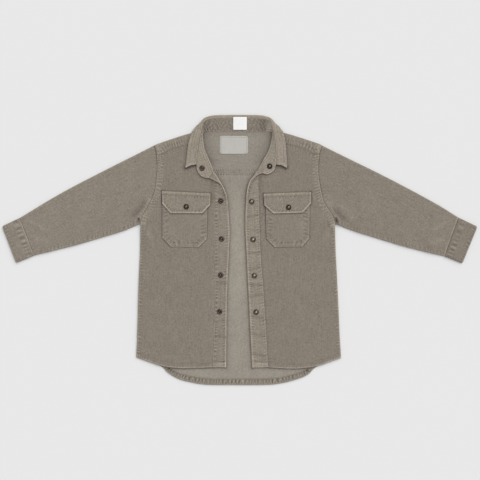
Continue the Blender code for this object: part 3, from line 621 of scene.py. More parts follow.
def shell(name, top, low, tone, cloth, material, wrap=False):
    """A closed wall of cloth: a fine upper grid, a coarser lower one and the rim between them."""
    rows, columns = top.shape[:2]
    step = (rows - 1) // (low.shape[0] - 1)
    upper = np.arange(rows * columns).reshape(rows, columns)
    under = rows * columns + np.arange(low.shape[0] * low.shape[1]).reshape(low.shape[:2])
    four = np.vstack([quads(upper, wrap), quads(under, wrap)[:, ::-1]])
    if wrap:
        three = (rim_faces(list(upper[0]), list(under[0]))
                 + rim_faces(list(np.roll(upper[-1][::-1], 1)), list(np.roll(under[-1][::-1], 1))))
    else:
        three = rim_faces(border(upper), border(under))
    points = np.vstack([top.reshape(-1, 3), low.reshape(-1, 3)])
    piece = mesh_object(name, points, four, three, material)
    values = np.concatenate([tone.ravel(), tone[::step, ::step].ravel()])
    piece.data.attributes.new("tone", "FLOAT", "POINT").data.foreach_set("value", values)
    places = np.vstack([cloth.reshape(-1, 2), cloth[::step, ::step].reshape(-1, 2)])
    places = np.hstack([places, np.zeros((len(places), 1))])
    piece.data.attributes.new("cloth", "FLOAT_VECTOR", "POINT").data.foreach_set("vector", places.ravel())
    return piece


def grid_area(grid):
    one = grid[1:, 1:] - grid[:-1, :-1]
    two = grid[1:, :-1] - grid[:-1, 1:]
    if grid.shape[2] == 2:
        return 0.5 * np.abs(one[..., 0] * two[..., 1] - one[..., 1] * two[..., 0]).sum()
    return 0.5 * np.linalg.norm(np.cross(one, two), axis=2).sum()


def declare(node, grid, around=1.0):
    """Hides the solid that a piece of cloth stands for, and works out the cut of what shows of it without
    keeping it.
    """
    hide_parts(node)
    across = np.linalg.norm(np.diff(grid, axis=1), axis=2).sum(axis=1).max()
    along = np.linalg.norm(np.diff(grid, axis=0), axis=2).sum(axis=0).max()
    area = grid_area(grid) * around
    across = max(min(across * around, area / LEAST_FILL / along), LEAST_CUT)
    flat = (across * MM, along * MM)
    area = min(area * MM * MM, flat[0] * flat[1])


def raised(plan, height):
    """A plan with heights."""
    return np.concatenate([plan, np.broadcast_to(height, plan.shape[:2])[..., None]], axis=2)


THREADS = []


def sew(path):
    """Adds a run of stitches along a path of points on the cloth."""
    total = lengths(path)[-1]
    count = int(total / STITCH)
    if count < 1:
        return
    starts = np.arange(count) * STITCH + STITCH_START
    ends = np.minimum((starts + STITCH_LENGTH) / total, 1.0)
    THREADS.append((at(path, starts / total), at(path, ends)))


def offset(line, distance, middle):
    """A line moved sideways by a distance, towards a point."""
    run = np.gradient(line, axis=0)
    normal = np.stack([-run[:, 1], run[:, 0]], axis=1)
    normal /= np.linalg.norm(normal, axis=1, keepdims=True)
    k = len(line) // 2
    if normal[k] @ (np.asarray(middle) - line[k]) < 0:
        normal = -normal
    return line + normal * distance


def sew_rows(seams, middle, height, rise=STITCH_RISE, skip=0):
    """Stitches along the marked rows of seams, on the side of them that the middle is on."""
    for item in seams:
        for row in item.get("rows", ()):
            path = even(offset(item["line"], row, middle), PATH_STEP)
            path = path[skip:len(path) - skip]
            sew(np.column_stack([path, height(path[:, 0], path[:, 1]) + rise]))


def panel(node, plan, base, thick, seams, slot="corduroy", tone=None, slack=soft):
    """A panel of cloth on its solid, with its sewn lines; gives back the height of its upper side."""
    def surface(x, y):
        height, shade = detail(x, y, seams, thick)
        return base(x, y) + thick + slack(x, y) + height, shade

    def upper(x, y):
        return surface(x, y)[0]

    x, y = plan[..., 0], plan[..., 1]
    height, shade = surface(x, y)
    if slack is soft:
        # painted light on the creases' ridges and painted shade in their hollows
        shade = shade + CREASE_PAINTED_SHADING * ridges(CREASES, x, y)
    under = plan[::COARSE, ::COARSE]
    x, y = under[..., 0], under[..., 1]
    low = raised(under, base(x, y) if base is level else base(x, y) + slack(x, y))
    tone = TONE.get(node, 1.0) if tone is None else tone
    piece = shell("cloth_" + node, raised(plan, height), low, tone * (1 + shade), plan, MATERIALS[slot])
    declare(node, plan)
    sew_rows(seams, plan.reshape(-1, 2).mean(axis=0), upper)
    return upper


# Materials

def nodes_of(name):
    material = bpy.data.materials.new(name)
    material.use_nodes = True
    tree = material.node_tree
    return material, tree, tree.nodes["Principled BSDF"]


def add(tree, kind, **values):
    node = tree.nodes.new(kind)
    for key, value in values.items():
        setattr(node, key, value)
    return node


def maths(tree, operation, one, two):
    node = add(tree, "ShaderNodeMath", operation=operation)
    for k, value in enumerate((one, two)):
        if isinstance(value, (int, float)):
            node.inputs[k].default_value = value
        else:
            tree.links.new(value, node.inputs[k])
    return node.outputs[0]


def scaled(tree, vector, factors):
    node = add(tree, "ShaderNodeVectorMath", operation="MULTIPLY")
    tree.links.new(vector, node.inputs[0])
    node.inputs[1].default_value = factors
    return node.outputs[0]


def noise(tree, vector, scale, detail_level=2.0):
    node = add(tree, "ShaderNodeTexNoise")
    tree.links.new(vector, node.inputs["Vector"])
    node.inputs["Scale"].default_value = scale
    node.inputs["Detail"].default_value = detail_level
    return node.outputs["Fac"]


def ramp(tree, value, *stops):
    """Colour of a value between two stops of place and colour."""
    node = add(tree, "ShaderNodeValToRGB")
    for element, (place, colour) in zip(node.color_ramp.elements, stops):
        element.position = place
        element.color = (*colour, 1.0)
    tree.links.new(value, node.inputs[0])
    return node.outputs[0]


def painter(tree, shader, factor):
    """Base colour times a factor; gives back the socket of the colour."""
    paint = add(tree, "ShaderNodeVectorMath", operation="SCALE")
    tree.links.new(factor, paint.inputs["Scale"])
    tree.links.new(paint.outputs[0], shader.inputs["Base Color"])
    return paint.inputs[0]


def cloth_material(name, colour, pitch, ribs, bump, slant=0.0, sheen=0.0, streak=0.2, rough=1.0):
    """Ribbed cloth: ribs and streaks follow the cloth's own directions, with mottling and flecks."""
    material, tree, shader = nodes_of(name)
    place = add(tree, "ShaderNodeAttribute", attribute_name="cloth").outputs["Vector"]
    tone = add(tree, "ShaderNodeAttribute", attribute_name="tone").outputs["Fac"]
    solid = add(tree, "ShaderNodeTexCoord").outputs["Object"]
    split = add(tree, "ShaderNodeSeparateXYZ")
    tree.links.new(place, split.inputs[0])
    drift = noise(tree, scaled(tree, place, (0.15, 0.05, 1.0)), 1.0)
    across = maths(tree, "ADD", split.outputs[0], maths(tree, "MULTIPLY", split.outputs[1], slant))
    across = maths(tree, "ADD", across, maths(tree, "MULTIPLY", drift, 1.2))
    wave = maths(tree, "SINE", maths(tree, "MULTIPLY", across, 2 * math.pi / pitch), 0.0)
    rib = maths(tree, "ADD", maths(tree, "MULTIPLY", wave, 0.5), 0.5)
    streaks = noise(tree, scaled(tree, place, (0.55, 0.035, 1.0)), 1.0, 3.0)
    mottle = noise(tree, solid, 55.0, 3.0)
    grain = noise(tree, solid, 300.0)
    fleck = noise(tree, solid, 900.0)
    patterns = ((streaks, 2 * streak), (mottle, 0.16), (grain, 0.55 * rough),
                (fleck, 1.2 * rough), (rib, ribs))
    factor = 1.0
    for pattern, share in patterns:
        swing = maths(tree, "MULTIPLY", maths(tree, "SUBTRACT", pattern, 0.5), share)
        factor = maths(tree, "ADD", factor, swing)
    # colour times the tone of the points, which carries their wear and their painted light and shade
    painter(tree, shader, maths(tree, "MULTIPLY", factor, tone)).default_value = colour
    lump = add(tree, "ShaderNodeBump")
    lump.inputs["Strength"].default_value = bump
    lump.inputs["Distance"].default_value = 0.0005
    tree.links.new(maths(tree, "ADD", rib, maths(tree, "MULTIPLY", fleck, 0.8)), lump.inputs["Height"])
    tree.links.new(lump.outputs[0], shader.inputs["Normal"])
    shader.inputs["Roughness"].default_value = 0.92
    shader.inputs["Specular IOR Level"].default_value = 0.2
    shader.inputs["Sheen Weight"].default_value = sheen
    shader.inputs["Sheen Roughness"].default_value = 0.5
    shader.inputs["Sheen Tint"].default_value = (0.93, 0.89, 0.83, 1.0)
    return material


def metal_material():
    """Dark antique metal, cloudy, with highlights painted into its colour from the tone of the points."""
    material, tree, shader = nodes_of("antique_metal")
    cloud = noise(tree, add(tree, "ShaderNodeTexCoord").outputs["Object"], 420.0, 3.0)
    tone = add(tree, "ShaderNodeAttribute", attribute_name="tone").outputs["Fac"]
    colour = ramp(tree, cloud, (0.3, (0.055, 0.045, 0.036)), (0.72, (0.17, 0.14, 0.11)))
    # colour times the tone of the points, which carries the painted highlights and shade of a snap
    tree.links.new(colour, painter(tree, shader, tone))
    rough = maths(tree, "ADD", 0.26, maths(tree, "MULTIPLY", cloud, 0.25))
    tree.links.new(rough, shader.inputs["Roughness"])
    shader.inputs["Metallic"].default_value = 0.85
    return material


def thread_material():
    material, tree, shader = nodes_of("sewing_thread")
    twist = noise(tree, add(tree, "ShaderNodeTexCoord").outputs["Object"], 700.0, 1.0)
    colour = ramp(tree, twist, (0.0, (0.20, 0.172, 0.142)), (1.0, (0.34, 0.30, 0.25)))
    tree.links.new(colour, shader.inputs["Base Color"])
    shader.inputs["Roughness"].default_value = 0.7
    return material


# One material for each slot of the cloth
MATERIALS = {
    "corduroy": cloth_material("corduroy_outer", (0.240, 0.207, 0.170), WALE, 0.22, 0.5, sheen=0.12),
    "inside": cloth_material("corduroy_inside", (0.320, 0.288, 0.244), 0.9, 0.08, 0.2,
                             slant=0.6, sheen=0.08, streak=0.08, rough=0.75),
    "neck_label": cloth_material("neck_label_weave", (0.50, 0.485, 0.45), 0.7, 0.08, 0.2,
                                 streak=0.06, rough=0.12),
    "stand_label": cloth_material("stand_label_weave", (0.90, 0.90, 0.885), 0.6, 0.04, 0.15,
                                  streak=0.03, rough=0.06),
}
METAL = metal_material()
COTTON = thread_material()


# Body panels

def front_base(x, y):
    """Underside of what lies straight on the back."""
    return FRONT_BASE + lift(x, y)


def front_top(x, y):
    return front_base(x, y) + CLOTH


def neck_line(side):
    return dense(on_side(side, NECK_SEAM))


def outline(corners):
    """Sides and bottom of a pocket or flap, and its slanted and bottom edges alone."""
    points = [corners["top"][0], corners["side"][0], corners["bottom"][0],
              corners["bottom"][1], corners["side"][1], corners["top"][1]]
    return np.array(points, dtype=float), np.array(points[1:-1], dtype=float)


def tab_line(side):
    """Edge of the collar stand's front end, from its seam with the leaf to the turned-out corner."""
    rows = STAND_ROWS[4::-1] if side == "left" else STAND_END[::-1]
    return dense([row[1][:2] for row in rows])


def leaf_line(side):
    """Free edge of the collar leaf over the front."""
    points = [LEAF_ROWS[0][0][:2]] + [row[2][:2] for row in LEAF_ROWS[:7]]
    return np.array(on_side(side, points))


# Painted shade on a front along its band, painted light where the amount is negative: (width, amount)
SEAM_SHADE = {"left": (4.0, -0.05), "right": (2.6, 0.18)}
# Lightness of the back's inside, from hem to yoke: (y, factor)
BACK_TONE = [(-245, 0.965), (-125, 0.985), (-60, 1.06), (80, 1.05), (125, 0.92), (146, 0.885)]


def make_front(side):
    armhole = dense(ARMHOLE[side][:FRONT_YOKE_ROW - 1:-1])
    side_seam = dense(SIDE_SEAM[side])
    placket = dense(PLACKET_SEAM[side])
    neck = neck_line(side)
    hem = dense(FRONT_HEM[side])
    yoke = dense(FRONT_YOKE_SEAM[side])
    pocket = outline(POCKET_CORNERS[side])[0]
    plan = patch(hem, yoke, chain(side_seam, armhole), chain(placket, neck), CELL["front"])
    seams = [
        seam(armhole, band=(10.6, 0.5), pucks=((0.5, 6.0, 0.6, 5.2, 0.0), (5.0, 11.6, 0.65, 5.6, 0.1)),
             rows=(2.4, 8.8), groove=(5.2, 1.3, 0.07), rim=SEWN, wear=(1.8, 0.24)),
        # painted shade along the yoke seam and beside the band
        seam(yoke, pucks=((0.0, 8.0, 0.35, 4.8, 0.0),), rim=SEWN, dark=(1.6, 0.22)),
        seam(side_seam, pucks=((0.6, 7.0, 0.6, 5.4, 0.2),), rim=(2.2, 0.65), wear=(2.8, 0.3)),
        # worn pale hem edge, strengthened as painted light against the shade of its rounded rim
        seam(hem, pucks=((0.6, 6.0, 0.5, 4.4, 0.2),), rows=(8.8,), rim=(1.2, 0.4), wear=(2.6, 0.6)),
        seam(placket, pucks=((0.0, 7.0, 0.12, 6.4, 0.2),), rim=(1.4, 0.08), dark=SEAM_SHADE[side]),
        seam(neck, rim=SEWN),
        # painted shadows of the pocket, the flap, the collar and the turned corner on the front, and painted
        # light along the pocket's bottom
        seam(pocket[:3], dark=(1.7, 0.38)),
        seam(pocket[3:], dark=(1.7, 0.38)),
        seam(POCKET_CORNERS[side]["bottom"], dark=(1.8, -0.14)),
        seam(outline(FLAP_CORNERS[side])[0], dark=(2.0, 0.42)),
        seam(FLAP_CORNERS[side]["top"], dark=(2.4, 0.3)),
        seam(tab_line(side), dark=(4.0, 0.2)),
        seam(leaf_line(side), dark=(4.5, 0.2)),
        seam(leaf_line(side)[:2], dark=(3.2, 0.4)),
        seam(TURN_EDGE[side], dark=(4.0, 0.16)),
    ]
    panel("front_" + side, plan, front_base, CLOTH, seams)


def make_back():
    left, right = [chain(dense(SIDE_SEAM[s]), dense(ARMHOLE[s][:BACK_YOKE_ROW - 1:-1])) for s in SIDES]
    top = np.array([left[-1], right[-1]])
    hem = dense(BACK_HEM)
    plan = patch(hem, top, left, right, CELL["back"])
    seams = [
        seam(hem, rim=FREE, wear=(1.2, 0.15)),
        seam(top, pucks=((0.6, 4.4, 1.0, 4.0, 0.0),), rows=(2.2,), groove=(6.0, 1.2, -0.04)),
    ]
    for side in SIDES:
        edge = dense(PLACKET_EDGE[side])
        # painted shade on the inside beside the front bands, and painted shadow below the front hems
        seams.append(seam(edge, dark=(2.6, 0.26)))
        seams.append(seam(edge, dark=(8.0, 0.12), reach=24.0))
        seams.append(seam(dense(FRONT_HEM[side]), dark=(3.0, 0.3)))

    def slack(x, y):
        return INSIDE_RIPPLE * ripple(x * 1.3, y * 0.7) * np.clip((top[0, 1] - y) / CALM, 0, 1)
    tone = np.interp(plan[..., 1], *np.array(BACK_TONE).T)
    panel("back", plan, level, CLOTH, seams, "inside", tone, slack)


def on_back(x, y):
    """Underside of what lies flat on the inside of the back or the yoke."""
    return np.full(np.shape(x), CLOTH + GAP)


def make_back_hem():
    """Turned-up hem on the inside of the back, where the fronts leave it showing."""
    hem = dense(BACK_HEM)
    left, right = [dense(FRONT_HEM[s]) for s in SIDES]
    x = np.linspace(*HEM_STRIP_ENDS, HEM_POINTS)
    low = np.interp(x, hem[:, 0], hem[:, 1])
    fronts = np.vstack([left, right[::-1]])
    high = np.minimum(low + HEM_TURN_UP, np.interp(x, fronts[:, 0], fronts[:, 1]) - 2 * SEAM)
    bottom = np.column_stack([x, low])
    top = np.column_stack([x, high])
    plan = patch(bottom, top, np.array([bottom[0], top[0]]), np.array([bottom[-1], top[-1]]), CELL["hem"])
    seams = [
        seam(bottom, pucks=((0.0, 6.5, 0.6, 4.7, 0.1), (2.5, 10.5, 0.75, 7.3, -0.15)), rim=FREE,
             wear=(2.2, 0.34)),
        # painted shade under the strip's top edge, and painted shadow beside the front hems
        seam(top, rows=(1.8,), rim=FREE, dark=(1.6, 0.18)),
        seam(left, dark=(6.0, 0.5)),
        seam(right, dark=(6.0, 0.5)),
    ]
    panel("back_hem", plan, on_back, HEM_PLY, seams, slack=level)


# Yoke

YOKE_STEPS = 44        # cells along one shoulder
# Shares of a section: flat behind, turns of the fold, strip in front
YOKE_FLAT = np.concatenate([[0.0, 0.004], np.linspace(0.022, 1, 42)[:-1]])
YOKE_TURNS = np.radians(np.linspace(-90, 90, 9))
YOKE_REACH = np.linspace(0.08, 1.0, 14)
YOKE_MIDDLE_Y = 215.0
YOKE_INWARD = 0.8      # share of a seam's distance from the middle that its stitches lie towards
NECK_STEP = 2.2
INSIDE_STITCH_RISE = 0.15


def yoke_sides():
    """Seams that show on the outside of the yoke."""
    sides = [seam(dense(FRONT_YOKE_SEAM[s]), pucks=((0.0, 13.0, 0.8, 4.6, 0.0),), rows=(2.0, 7.4),
                  rim=SEWN, wear=(1.8, 0.12)) for s in SIDES]
    sides += [seam(dense(ARMHOLE[s][:BACK_YOKE_ROW]), band=(10.6, 0.4), pucks=((3.0, 12.0, 0.5, 6.4, 0.3),),
                   rows=(2.4, 8.8), rim=SEWN, wear=(2.4, 0.3)) for s in SIDES]
    sides += [seam(dense(SHOULDER_FOLD[s]), pucks=((0.0, 14.0, 0.2, 8.0, 0.2),)) for s in SIDES]
    # painted shadow of the collar leaf
    sides += [seam(leaf_line(s), dark=(4.5, 0.2)) for s in SIDES]
    return sides


def yoke_inside(ends):
    """Seams and painted shade that show on its inside, behind the neck."""
    inside = [seam(ends, pucks=((0.4, 3.6, 1.0, 3.9, 0.0), (3.8, 7.4, 1.0, 4.1, 0.0)), rows=(1.7, 5.5)),
              # painted shade under the stand's lower edge
              seam([(-66.0, 220.5), (57.0, 220.5)], dark=(4.0, 0.06))]
    for s in SIDES:
        roll = dense(on_side(s, [row[0][:2] for row in STAND_ROWS[4:10]]))
        # painted shadow of the rolled collar on the inside
        inside += [seam(roll, dark=(4.0, 0.14)), seam(roll, dark=(15.0, 0.22), reach=36.0)]
    return inside


def yoke_section(seam_point, fold, strip, behind):
    """Outer and inner points from the back seam, round the shoulder fold and along the front strip."""
    top = CLOTH if behind else float(FRONT_BASE + lift(*fold) + CLOTH)
    half = top / 2
    room = max(half - CLOTH, LEAST_ROOM)
    back_in = (seam_point - fold) / np.linalg.norm(seam_point - fold)
    flat = seam_point + YOKE_FLAT[:, None] * (fold + back_in * half - seam_point)
    outer = [(*p, 0.0) for p in flat]
    inner = [(*p, CLOTH) for p in flat]
    for turn in YOKE_TURNS:
        c, s = math.cos(turn), math.sin(turn)
        outer.append((*(fold + back_in * half * (1 - c)), half + half * s))
        inner.append((*(fold + back_in * (half - room * c)), half + room * s))
    reach = strip - fold
    start = half / np.linalg.norm(reach)
    for share in YOKE_REACH:
        p = fold + reach * max(share, start + 0.02 + 0.1 * share)
        base = 0.0 if behind else float(FRONT_BASE + lift(*p))
        outer.append((*p, base + CLOTH))
        inner.append((*p, base + 0.6 * CLOTH * behind))
    return outer, inner


def make_yoke():
    """Back yoke, folded over both shoulders to the front yoke seams."""
    forth = np.linspace(0, 1, YOKE_STEPS + 1)
    back = np.linspace(1, 0, YOKE_STEPS + 1)
    neck = even(YOKE_NECK, NECK_STEP)
    fold = np.vstack([at(dense(SHOULDER_FOLD["left"]), forth), neck,
                      at(dense(SHOULDER_FOLD["right"]), back)])
    strip = np.vstack([at(dense(FRONT_YOKE_SEAM["left"]), forth), neck - np.array([0.0, NECK_EDGE]),
                       at(dense(FRONT_YOKE_SEAM["right"]), back)])
    ends = np.array([ARMHOLE[s][BACK_YOKE_ROW] for s in SIDES], dtype=float)
    seam_line = at(ends, np.linspace(0, 1, len(fold)))
    sides = yoke_sides()
    inside = yoke_inside(ends)
    last = len(fold) - 1
    sections = [yoke_section(seam_line[j], fold[j], strip[j], YOKE_STEPS < j < last - YOKE_STEPS)
                for j in range(last + 1)]
    outer = np.array([section[0] for section in sections])
    inner = np.array([section[1] for section in sections])
    upper = np.zeros(outer.shape[:2], dtype=bool)
    upper[:, len(YOKE_FLAT) + len(YOKE_TURNS) // 2:] = True

    def strip_surface(x, y):
        height, shade = detail(x, y, sides, CLOTH)
        return soft(x, y) + height, shade

    def strip_top(x, y):
        return FRONT_BASE + lift(x, y) + CLOTH + strip_surface(x, y)[0]

    def inside_top(x, y):
        return CLOTH + detail(x, y, inside, CLOTH)[0]

    rise, shade = strip_surface(outer[..., 0], outer[..., 1])
    outer[..., 2] += np.where(upper, rise, 0.0)
    tone_out = YOKE_TONE * (1 + np.where(upper, shade, 0.0))
    rise, shade = detail(inner[..., 0], inner[..., 1], inside, CLOTH)
    calm = np.clip((inner[..., 1] - ends[0, 1]) / CALM, 0, 1)
    rise = rise + INSIDE_RIPPLE * calm * ripple(inner[..., 0] * 1.4, inner[..., 1] * 1.4)
    inner[..., 2] += np.where(upper, 0.0, rise)
    tone_in = YOKE_INSIDE_TONE * (1 + np.where(upper, 0.0, shade))
    cloth = np.stack([running(outer, 1), outer[..., 0]], axis=2)
    piece = shell("cloth_back_yoke", outer, inner, tone_out, cloth, MATERIALS["corduroy"])
    values = np.concatenate([tone_out.ravel(), tone_in.ravel()])
    piece.data.attributes["tone"].data.foreach_set("value", values)
    piece.data.materials.append(MATERIALS["inside"])
    for face in piece.data.polygons:
        face.material_index = int(min(face.vertices) >= tone_out.size)
    declare("back_yoke", outer)
    for item in sides[:4]:
        sew_rows([item], (item["line"][:, 0].mean() * YOKE_INWARD, YOKE_MIDDLE_Y), strip_top)
    sew_rows(inside[:1], (AXIS_X, YOKE_MIDDLE_Y), inside_top, rise=INSIDE_STITCH_RISE)


# Front bands

BAND_WEAR = {"left": (2.6, 0.44), "right": (4.0, 0.38)}
BAND_PUCKS = {"left": (0.8, 7.6, 0.6, 6.6, 0.0), "right": (0.0, 8.5, 0.45, 5.2, 0.2)}


def make_placket(side):
    line = dense(PLACKET_SEAM[side])
    edge = dense(PLACKET_EDGE[side])
    seams = [
        seam(line, pucks=(BAND_PUCKS[side],), rows=(2.6,), rim=(6.0, 0.38), wear=(2.6, 0.12),
             groove=(9.5, 2.0, 0.05)),
        seam(edge, pucks=((1.0, 9.5, 0.45, 5.0, 0.2),), rows=(4.6,), rim=FREE, wear=BAND_WEAR[side]),
        seam([line[0], edge[0]], rows=(9.6,), pucks=((0.0, 9.0, 0.3, 5.0, 0.3),), rim=FREE,
             wear=(2.2, 0.22), band=(10.6, 0.35), groove=(11.4, 1.3, 0.3)),
        # painted shadow of the turned corner on the band
        seam(TURN_EDGE[side], dark=(3.2, 0.24)),
    ]
    plan = ruled(line, edge, CELL["band"])
    return panel("placket_" + side, plan, front_base, PLACKET, seams)


def make_placket_facing(side):
    """The corner of the front band that is turned out with the collar stand."""
    edge = dense(TURN_EDGE[side])[::-1]
    roll = dense(TURN_ROLL[side])[::-1]
    seams = [
        seam(edge, rim=FREE, wear=(2.8, 0.4), rows=(3.6,), pucks=((1.0, 6.0, 0.25, 5.0, 0.2),)),
        seam(roll, rim=(2.2, 0.6), wear=(1.6, 0.25)),
    ]

    def base(x, y):
        return front_base(x, y) + PLACKET + GAP + FACING_RISE * (lift(x, y) - AIR)
    plan = ruled(edge, roll, CELL["facing"])
    panel("placket_facing_" + side, plan, base, CLOTH, seams)


# Pockets

def chamfered(corners, step):
    """Plan of a pocket or flap with two cut bottom corners, and its top edge."""
    edges = [np.array([corners[key][k] for key in ("bottom", "side", "top")], dtype=float) for k in (0, 1)]
    top = np.array(corners["top"], dtype=float)
    return patch(np.array(corners["bottom"], dtype=float), top, *edges, step), top


def pocket_base(x, y):
    return front_top(x, y) + POCKET_GAP


def make_pocket(side):
    plan, top = chamfered(POCKET_CORNERS[side], CELL["pocket"])
    whole, low = outline(POCKET_CORNERS[side])
    seams = [
        seam(whole, pucks=((0.0, 5.0, 0.35, 5.4, 0.2), (3.0, 13.0, 0.45, 8.6, 0.3)), rows=(2.2, 7.6),
             rim=FREE, wear=(2.0, 0.24)),
        seam(low[:2], wear=(2.8, 0.42)),
        seam(low[2:], wear=(2.8, 0.42)),
        seam(low[1:3], wear=(6.0, 0.13)),
        # painted shadow of the flap on the pocket
        seam(outline(FLAP_CORNERS[side])[0], dark=(2.0, 0.42)),
        seam(top, rim=FREE),
    ]
    panel("pocket_" + side, plan, pocket_base, CLOTH, seams)


def make_flap(side):
    plan, top = chamfered(FLAP_CORNERS[side], CELL["flap"])
    whole, low = outline(FLAP_CORNERS[side])
    seams = [
        seam(whole, pucks=((2.5, 8.5, 0.4, 5.0, 0.2),), rows=(4.4,), rim=FREE, wear=(2.4, 0.3)),
        seam(low, wear=(3.0, 0.5)),
        seam(top, pucks=((0.0, 6.0, 0.25, 6.2, 0.0), (5.0, 12.0, 0.35, 5.4, 0.0)), rows=(6.4,),
             rim=SEWN, wear=(3.4, 0.18), groove=(7.4, 2.2, 0.13)),
    ]

    def base(x, y):
        _, d = near(even(top, FLAP_STEP), np.ravel(x), np.ravel(y))
        share = np.clip(d / FLAP_RISE, 0, 1).reshape(np.shape(x))
        return pocket_base(x, y) + share * (CLOTH + POCKET_GAP)
    return panel("flap_" + side, plan, base, CLOTH, seams)


# Sleeves and cuffs

# Painted shade in the hollow at each armpit, and painted light on the ridge beside each armhole
ARMPIT = {"left": [(-191.5, 60.0), (-191.0, 54.0)], "right": [(183.0, 60.0), (183.8, 54.0)]}
ARMHOLE_RIDGE = {"left": [(-171.5, 96.0), (-197.5, 56.0)], "right": [(168.0, 90.0), (187.0, 61.0)]}
# Marks of the seam between sleeve and cuff, on the sleeve and on the cuff: worn pale strips and painted shade
CUFF_LINE = {"left": (dict(dark=(1.0, 0.04)), dict(wear=(2.0, 0.5))),
             "right": (dict(wear=(2.0, 0.45)), dict(dark=(1.1, 0.18)))}
CUFF_CORNER = 2.8      # radius of a cuff's corners
SLEEVE_FOLD = 2.2      # rounding of the folds of a flattened sleeve and cuff
CUFF_FOLD = 2.4
SEAM_ENDS = 3          # points of a path that a row of stitches leaves free at each fold


def flat_tube(node, plan, ply, heights, seams, wales, fold_radius):
    """A flattened tube over a plan grid: columns run from its top fold to its bottom fold."""
    from_top = running(plan, 1)
    width = from_top[:, -1:]
    inset = np.minimum(np.minimum(from_top, width - from_top) / fold_radius, 1)
    roundness = np.sqrt(1 - (1 - inset) ** 2)

    def surface(x, y):
        height, shade = detail(x, y, seams, ply)
        return soft(x, y) + height, shade

    def top_at(x, y):
        return heights.max() + surface(x, y)[0]

    def around(upper, under):
        return np.concatenate([upper, under[:, -2:0:-1]], axis=1)

    rise, shade = surface(plan[..., 0], plan[..., 1])
    # painted light on the creases' ridges and painted shade in their hollows
    shade = shade + CREASE_PAINTED_SHADING * ridges(CREASES, plan[..., 0], plan[..., 1])
    half = heights / 2
    outer = around(raised(plan, half + half * roundness + rise * roundness),
                   raised(plan, half - half * roundness))
    middle = (plan[:, :1] + plan[:, -1:]) / 2
    room = np.maximum(half - ply, LEAST_ROOM)
    shrunk = middle + (plan - middle) * (1 - 2 * ply / width[..., None])
    inner = around(raised(shrunk, half + room * roundness + 0.5 * rise * roundness),
                   raised(shrunk, half - room * roundness))
    tones = TONE[node] * (1 + around(shade, 0 * shade))
    turned = around(from_top, 2 * width - from_top)
    down = running(plan, 0)
    down = around(down, down)
    cloth = np.stack([turned, down] if wales == "along" else [down, turned], axis=2)
    piece = shell("cloth_" + node, outer, inner[::COARSE, ::COARSE], tones, cloth,
                  MATERIALS["corduroy"], wrap=True)
    declare(node, plan, around=2.0)
    sew_rows(seams, plan.reshape(-1, 2).mean(axis=0), top_at, skip=SEAM_ENDS)


def make_sleeve(side):
    armhole = dense(ARMHOLE[side])
    top = dense(SLEEVE_TOP[side])
    bottom = dense(SLEEVE_BOTTOM[side])
    top[0] = armhole[0]
    bottom[0] = armhole[-1]
    cuff = np.array([top[-1], bottom[-1]])
    plan = patch(armhole, cuff, top, bottom, CELL["sleeve"])
    seams = [
        # painted shade along the armhole seam
        seam(armhole, pucks=((0.0, 9.0, 0.3, 6.2, 0.2),), rim=SEWN, dark=(1.7, 0.32)),
        seam(dense(ARMHOLE[side][:3]), dark=(1.8, 0.24)),
        seam(dense(ARMHOLE[side][7:]), band=(5.5, 0.3)),
        seam(cuff, pucks=((0.0, 6.0, 0.12, 7.0, 0.0),), rim=(1.0, 0.1), **CUFF_LINE[side][0]),
        # worn pale edges, strengthened as painted light against the shade of the rounded folds
        seam(bottom, pucks=((0.0, 9.0, 0.42, 6.6, 0.3),), wear=(2.6, 0.28)),
        seam(top, pucks=((0.0, 8.0, 0.14, 11.0, 0.2),), wear=(2.4, 0.12)),
        # painted shade in the armpit hollow, and painted light on the ridge beside the armhole, given as a
        # wear mark
        seam(ARMPIT[side], dark=(2.6, 0.84)),
        seam(ARMHOLE_RIDGE[side], wear=(1.8, 0.16)),
    ]
    heights = 2 * CLOTH + GAP + lift(plan[..., 0], plan[..., 1])
    flat_tube("sleeve_" + side, plan, CLOTH, heights, seams, "along", SLEEVE_FOLD)


def make_cuff(side):
    line = np.array(CUFF_CORNERS[side]["seam"], dtype=float)
    end = np.array(CUFF_CORNERS[side]["end"], dtype=float)
    folds = [np.array([line[k], end[k]]) for k in (0, 1)]
    plan = patch(line, end, *folds, CELL["cuff"])
    to_end = np.linalg.norm(plan - plan[-1:], axis=2)[:, :1, None]
    inset = CUFF_CORNER - np.sqrt(CUFF_CORNER ** 2 - np.clip(CUFF_CORNER - to_end, 0, None) ** 2)
    middle = (plan[:, :1] + plan[:, -1:]) / 2
    plan = middle + (plan - middle) * (1 - 2 * inset / np.linalg.norm(line[1] - line[0]))
    seams = [
        seam(line, pucks=((3.0, 16.0, 0.65, 9.4, 0.0),), rows=(2.2,), rim=(1.0, 0.1), **CUFF_LINE[side][1]),
        seam(end, pucks=((0.0, 9.0, 0.4, 5.6, 0.2),), rows=(3.0,), rim=FREE, wear=(1.4, 0.26)),
    ]
    seams += [seam(fold, pucks=((0.0, 8.0, 0.3, 6.0, 0.2),)) for fold in folds]
    heights = np.full(plan.shape[:2], 2 * CUFF + GAP + AIR)
    flat_tube("cuff_" + side, plan, CUFF, heights, seams, "around", CUFF_FOLD)


# Collar

COLLAR_STITCH_RISE = 0.1
STAND_STITCHES = (3.0, -2.4)    # rows of stitches from the first edge, or from the last one where negative
LEAF_STITCHES = (-5.6, 1.8)
STAND_COLUMNS = 12
STAND_UP_ROW = 24               # row of the mesh whose middle faces up
LEAF_UP_ROW = 16
BACK_START = 88.0               # where the stand passes behind the neck, from its front ends
BACK_BLEND = 8.0
BACK_CORNER = 96.0              # place of the deepest painted shade there
TAB_LENGTH = 25.0               # worn front end of the stand


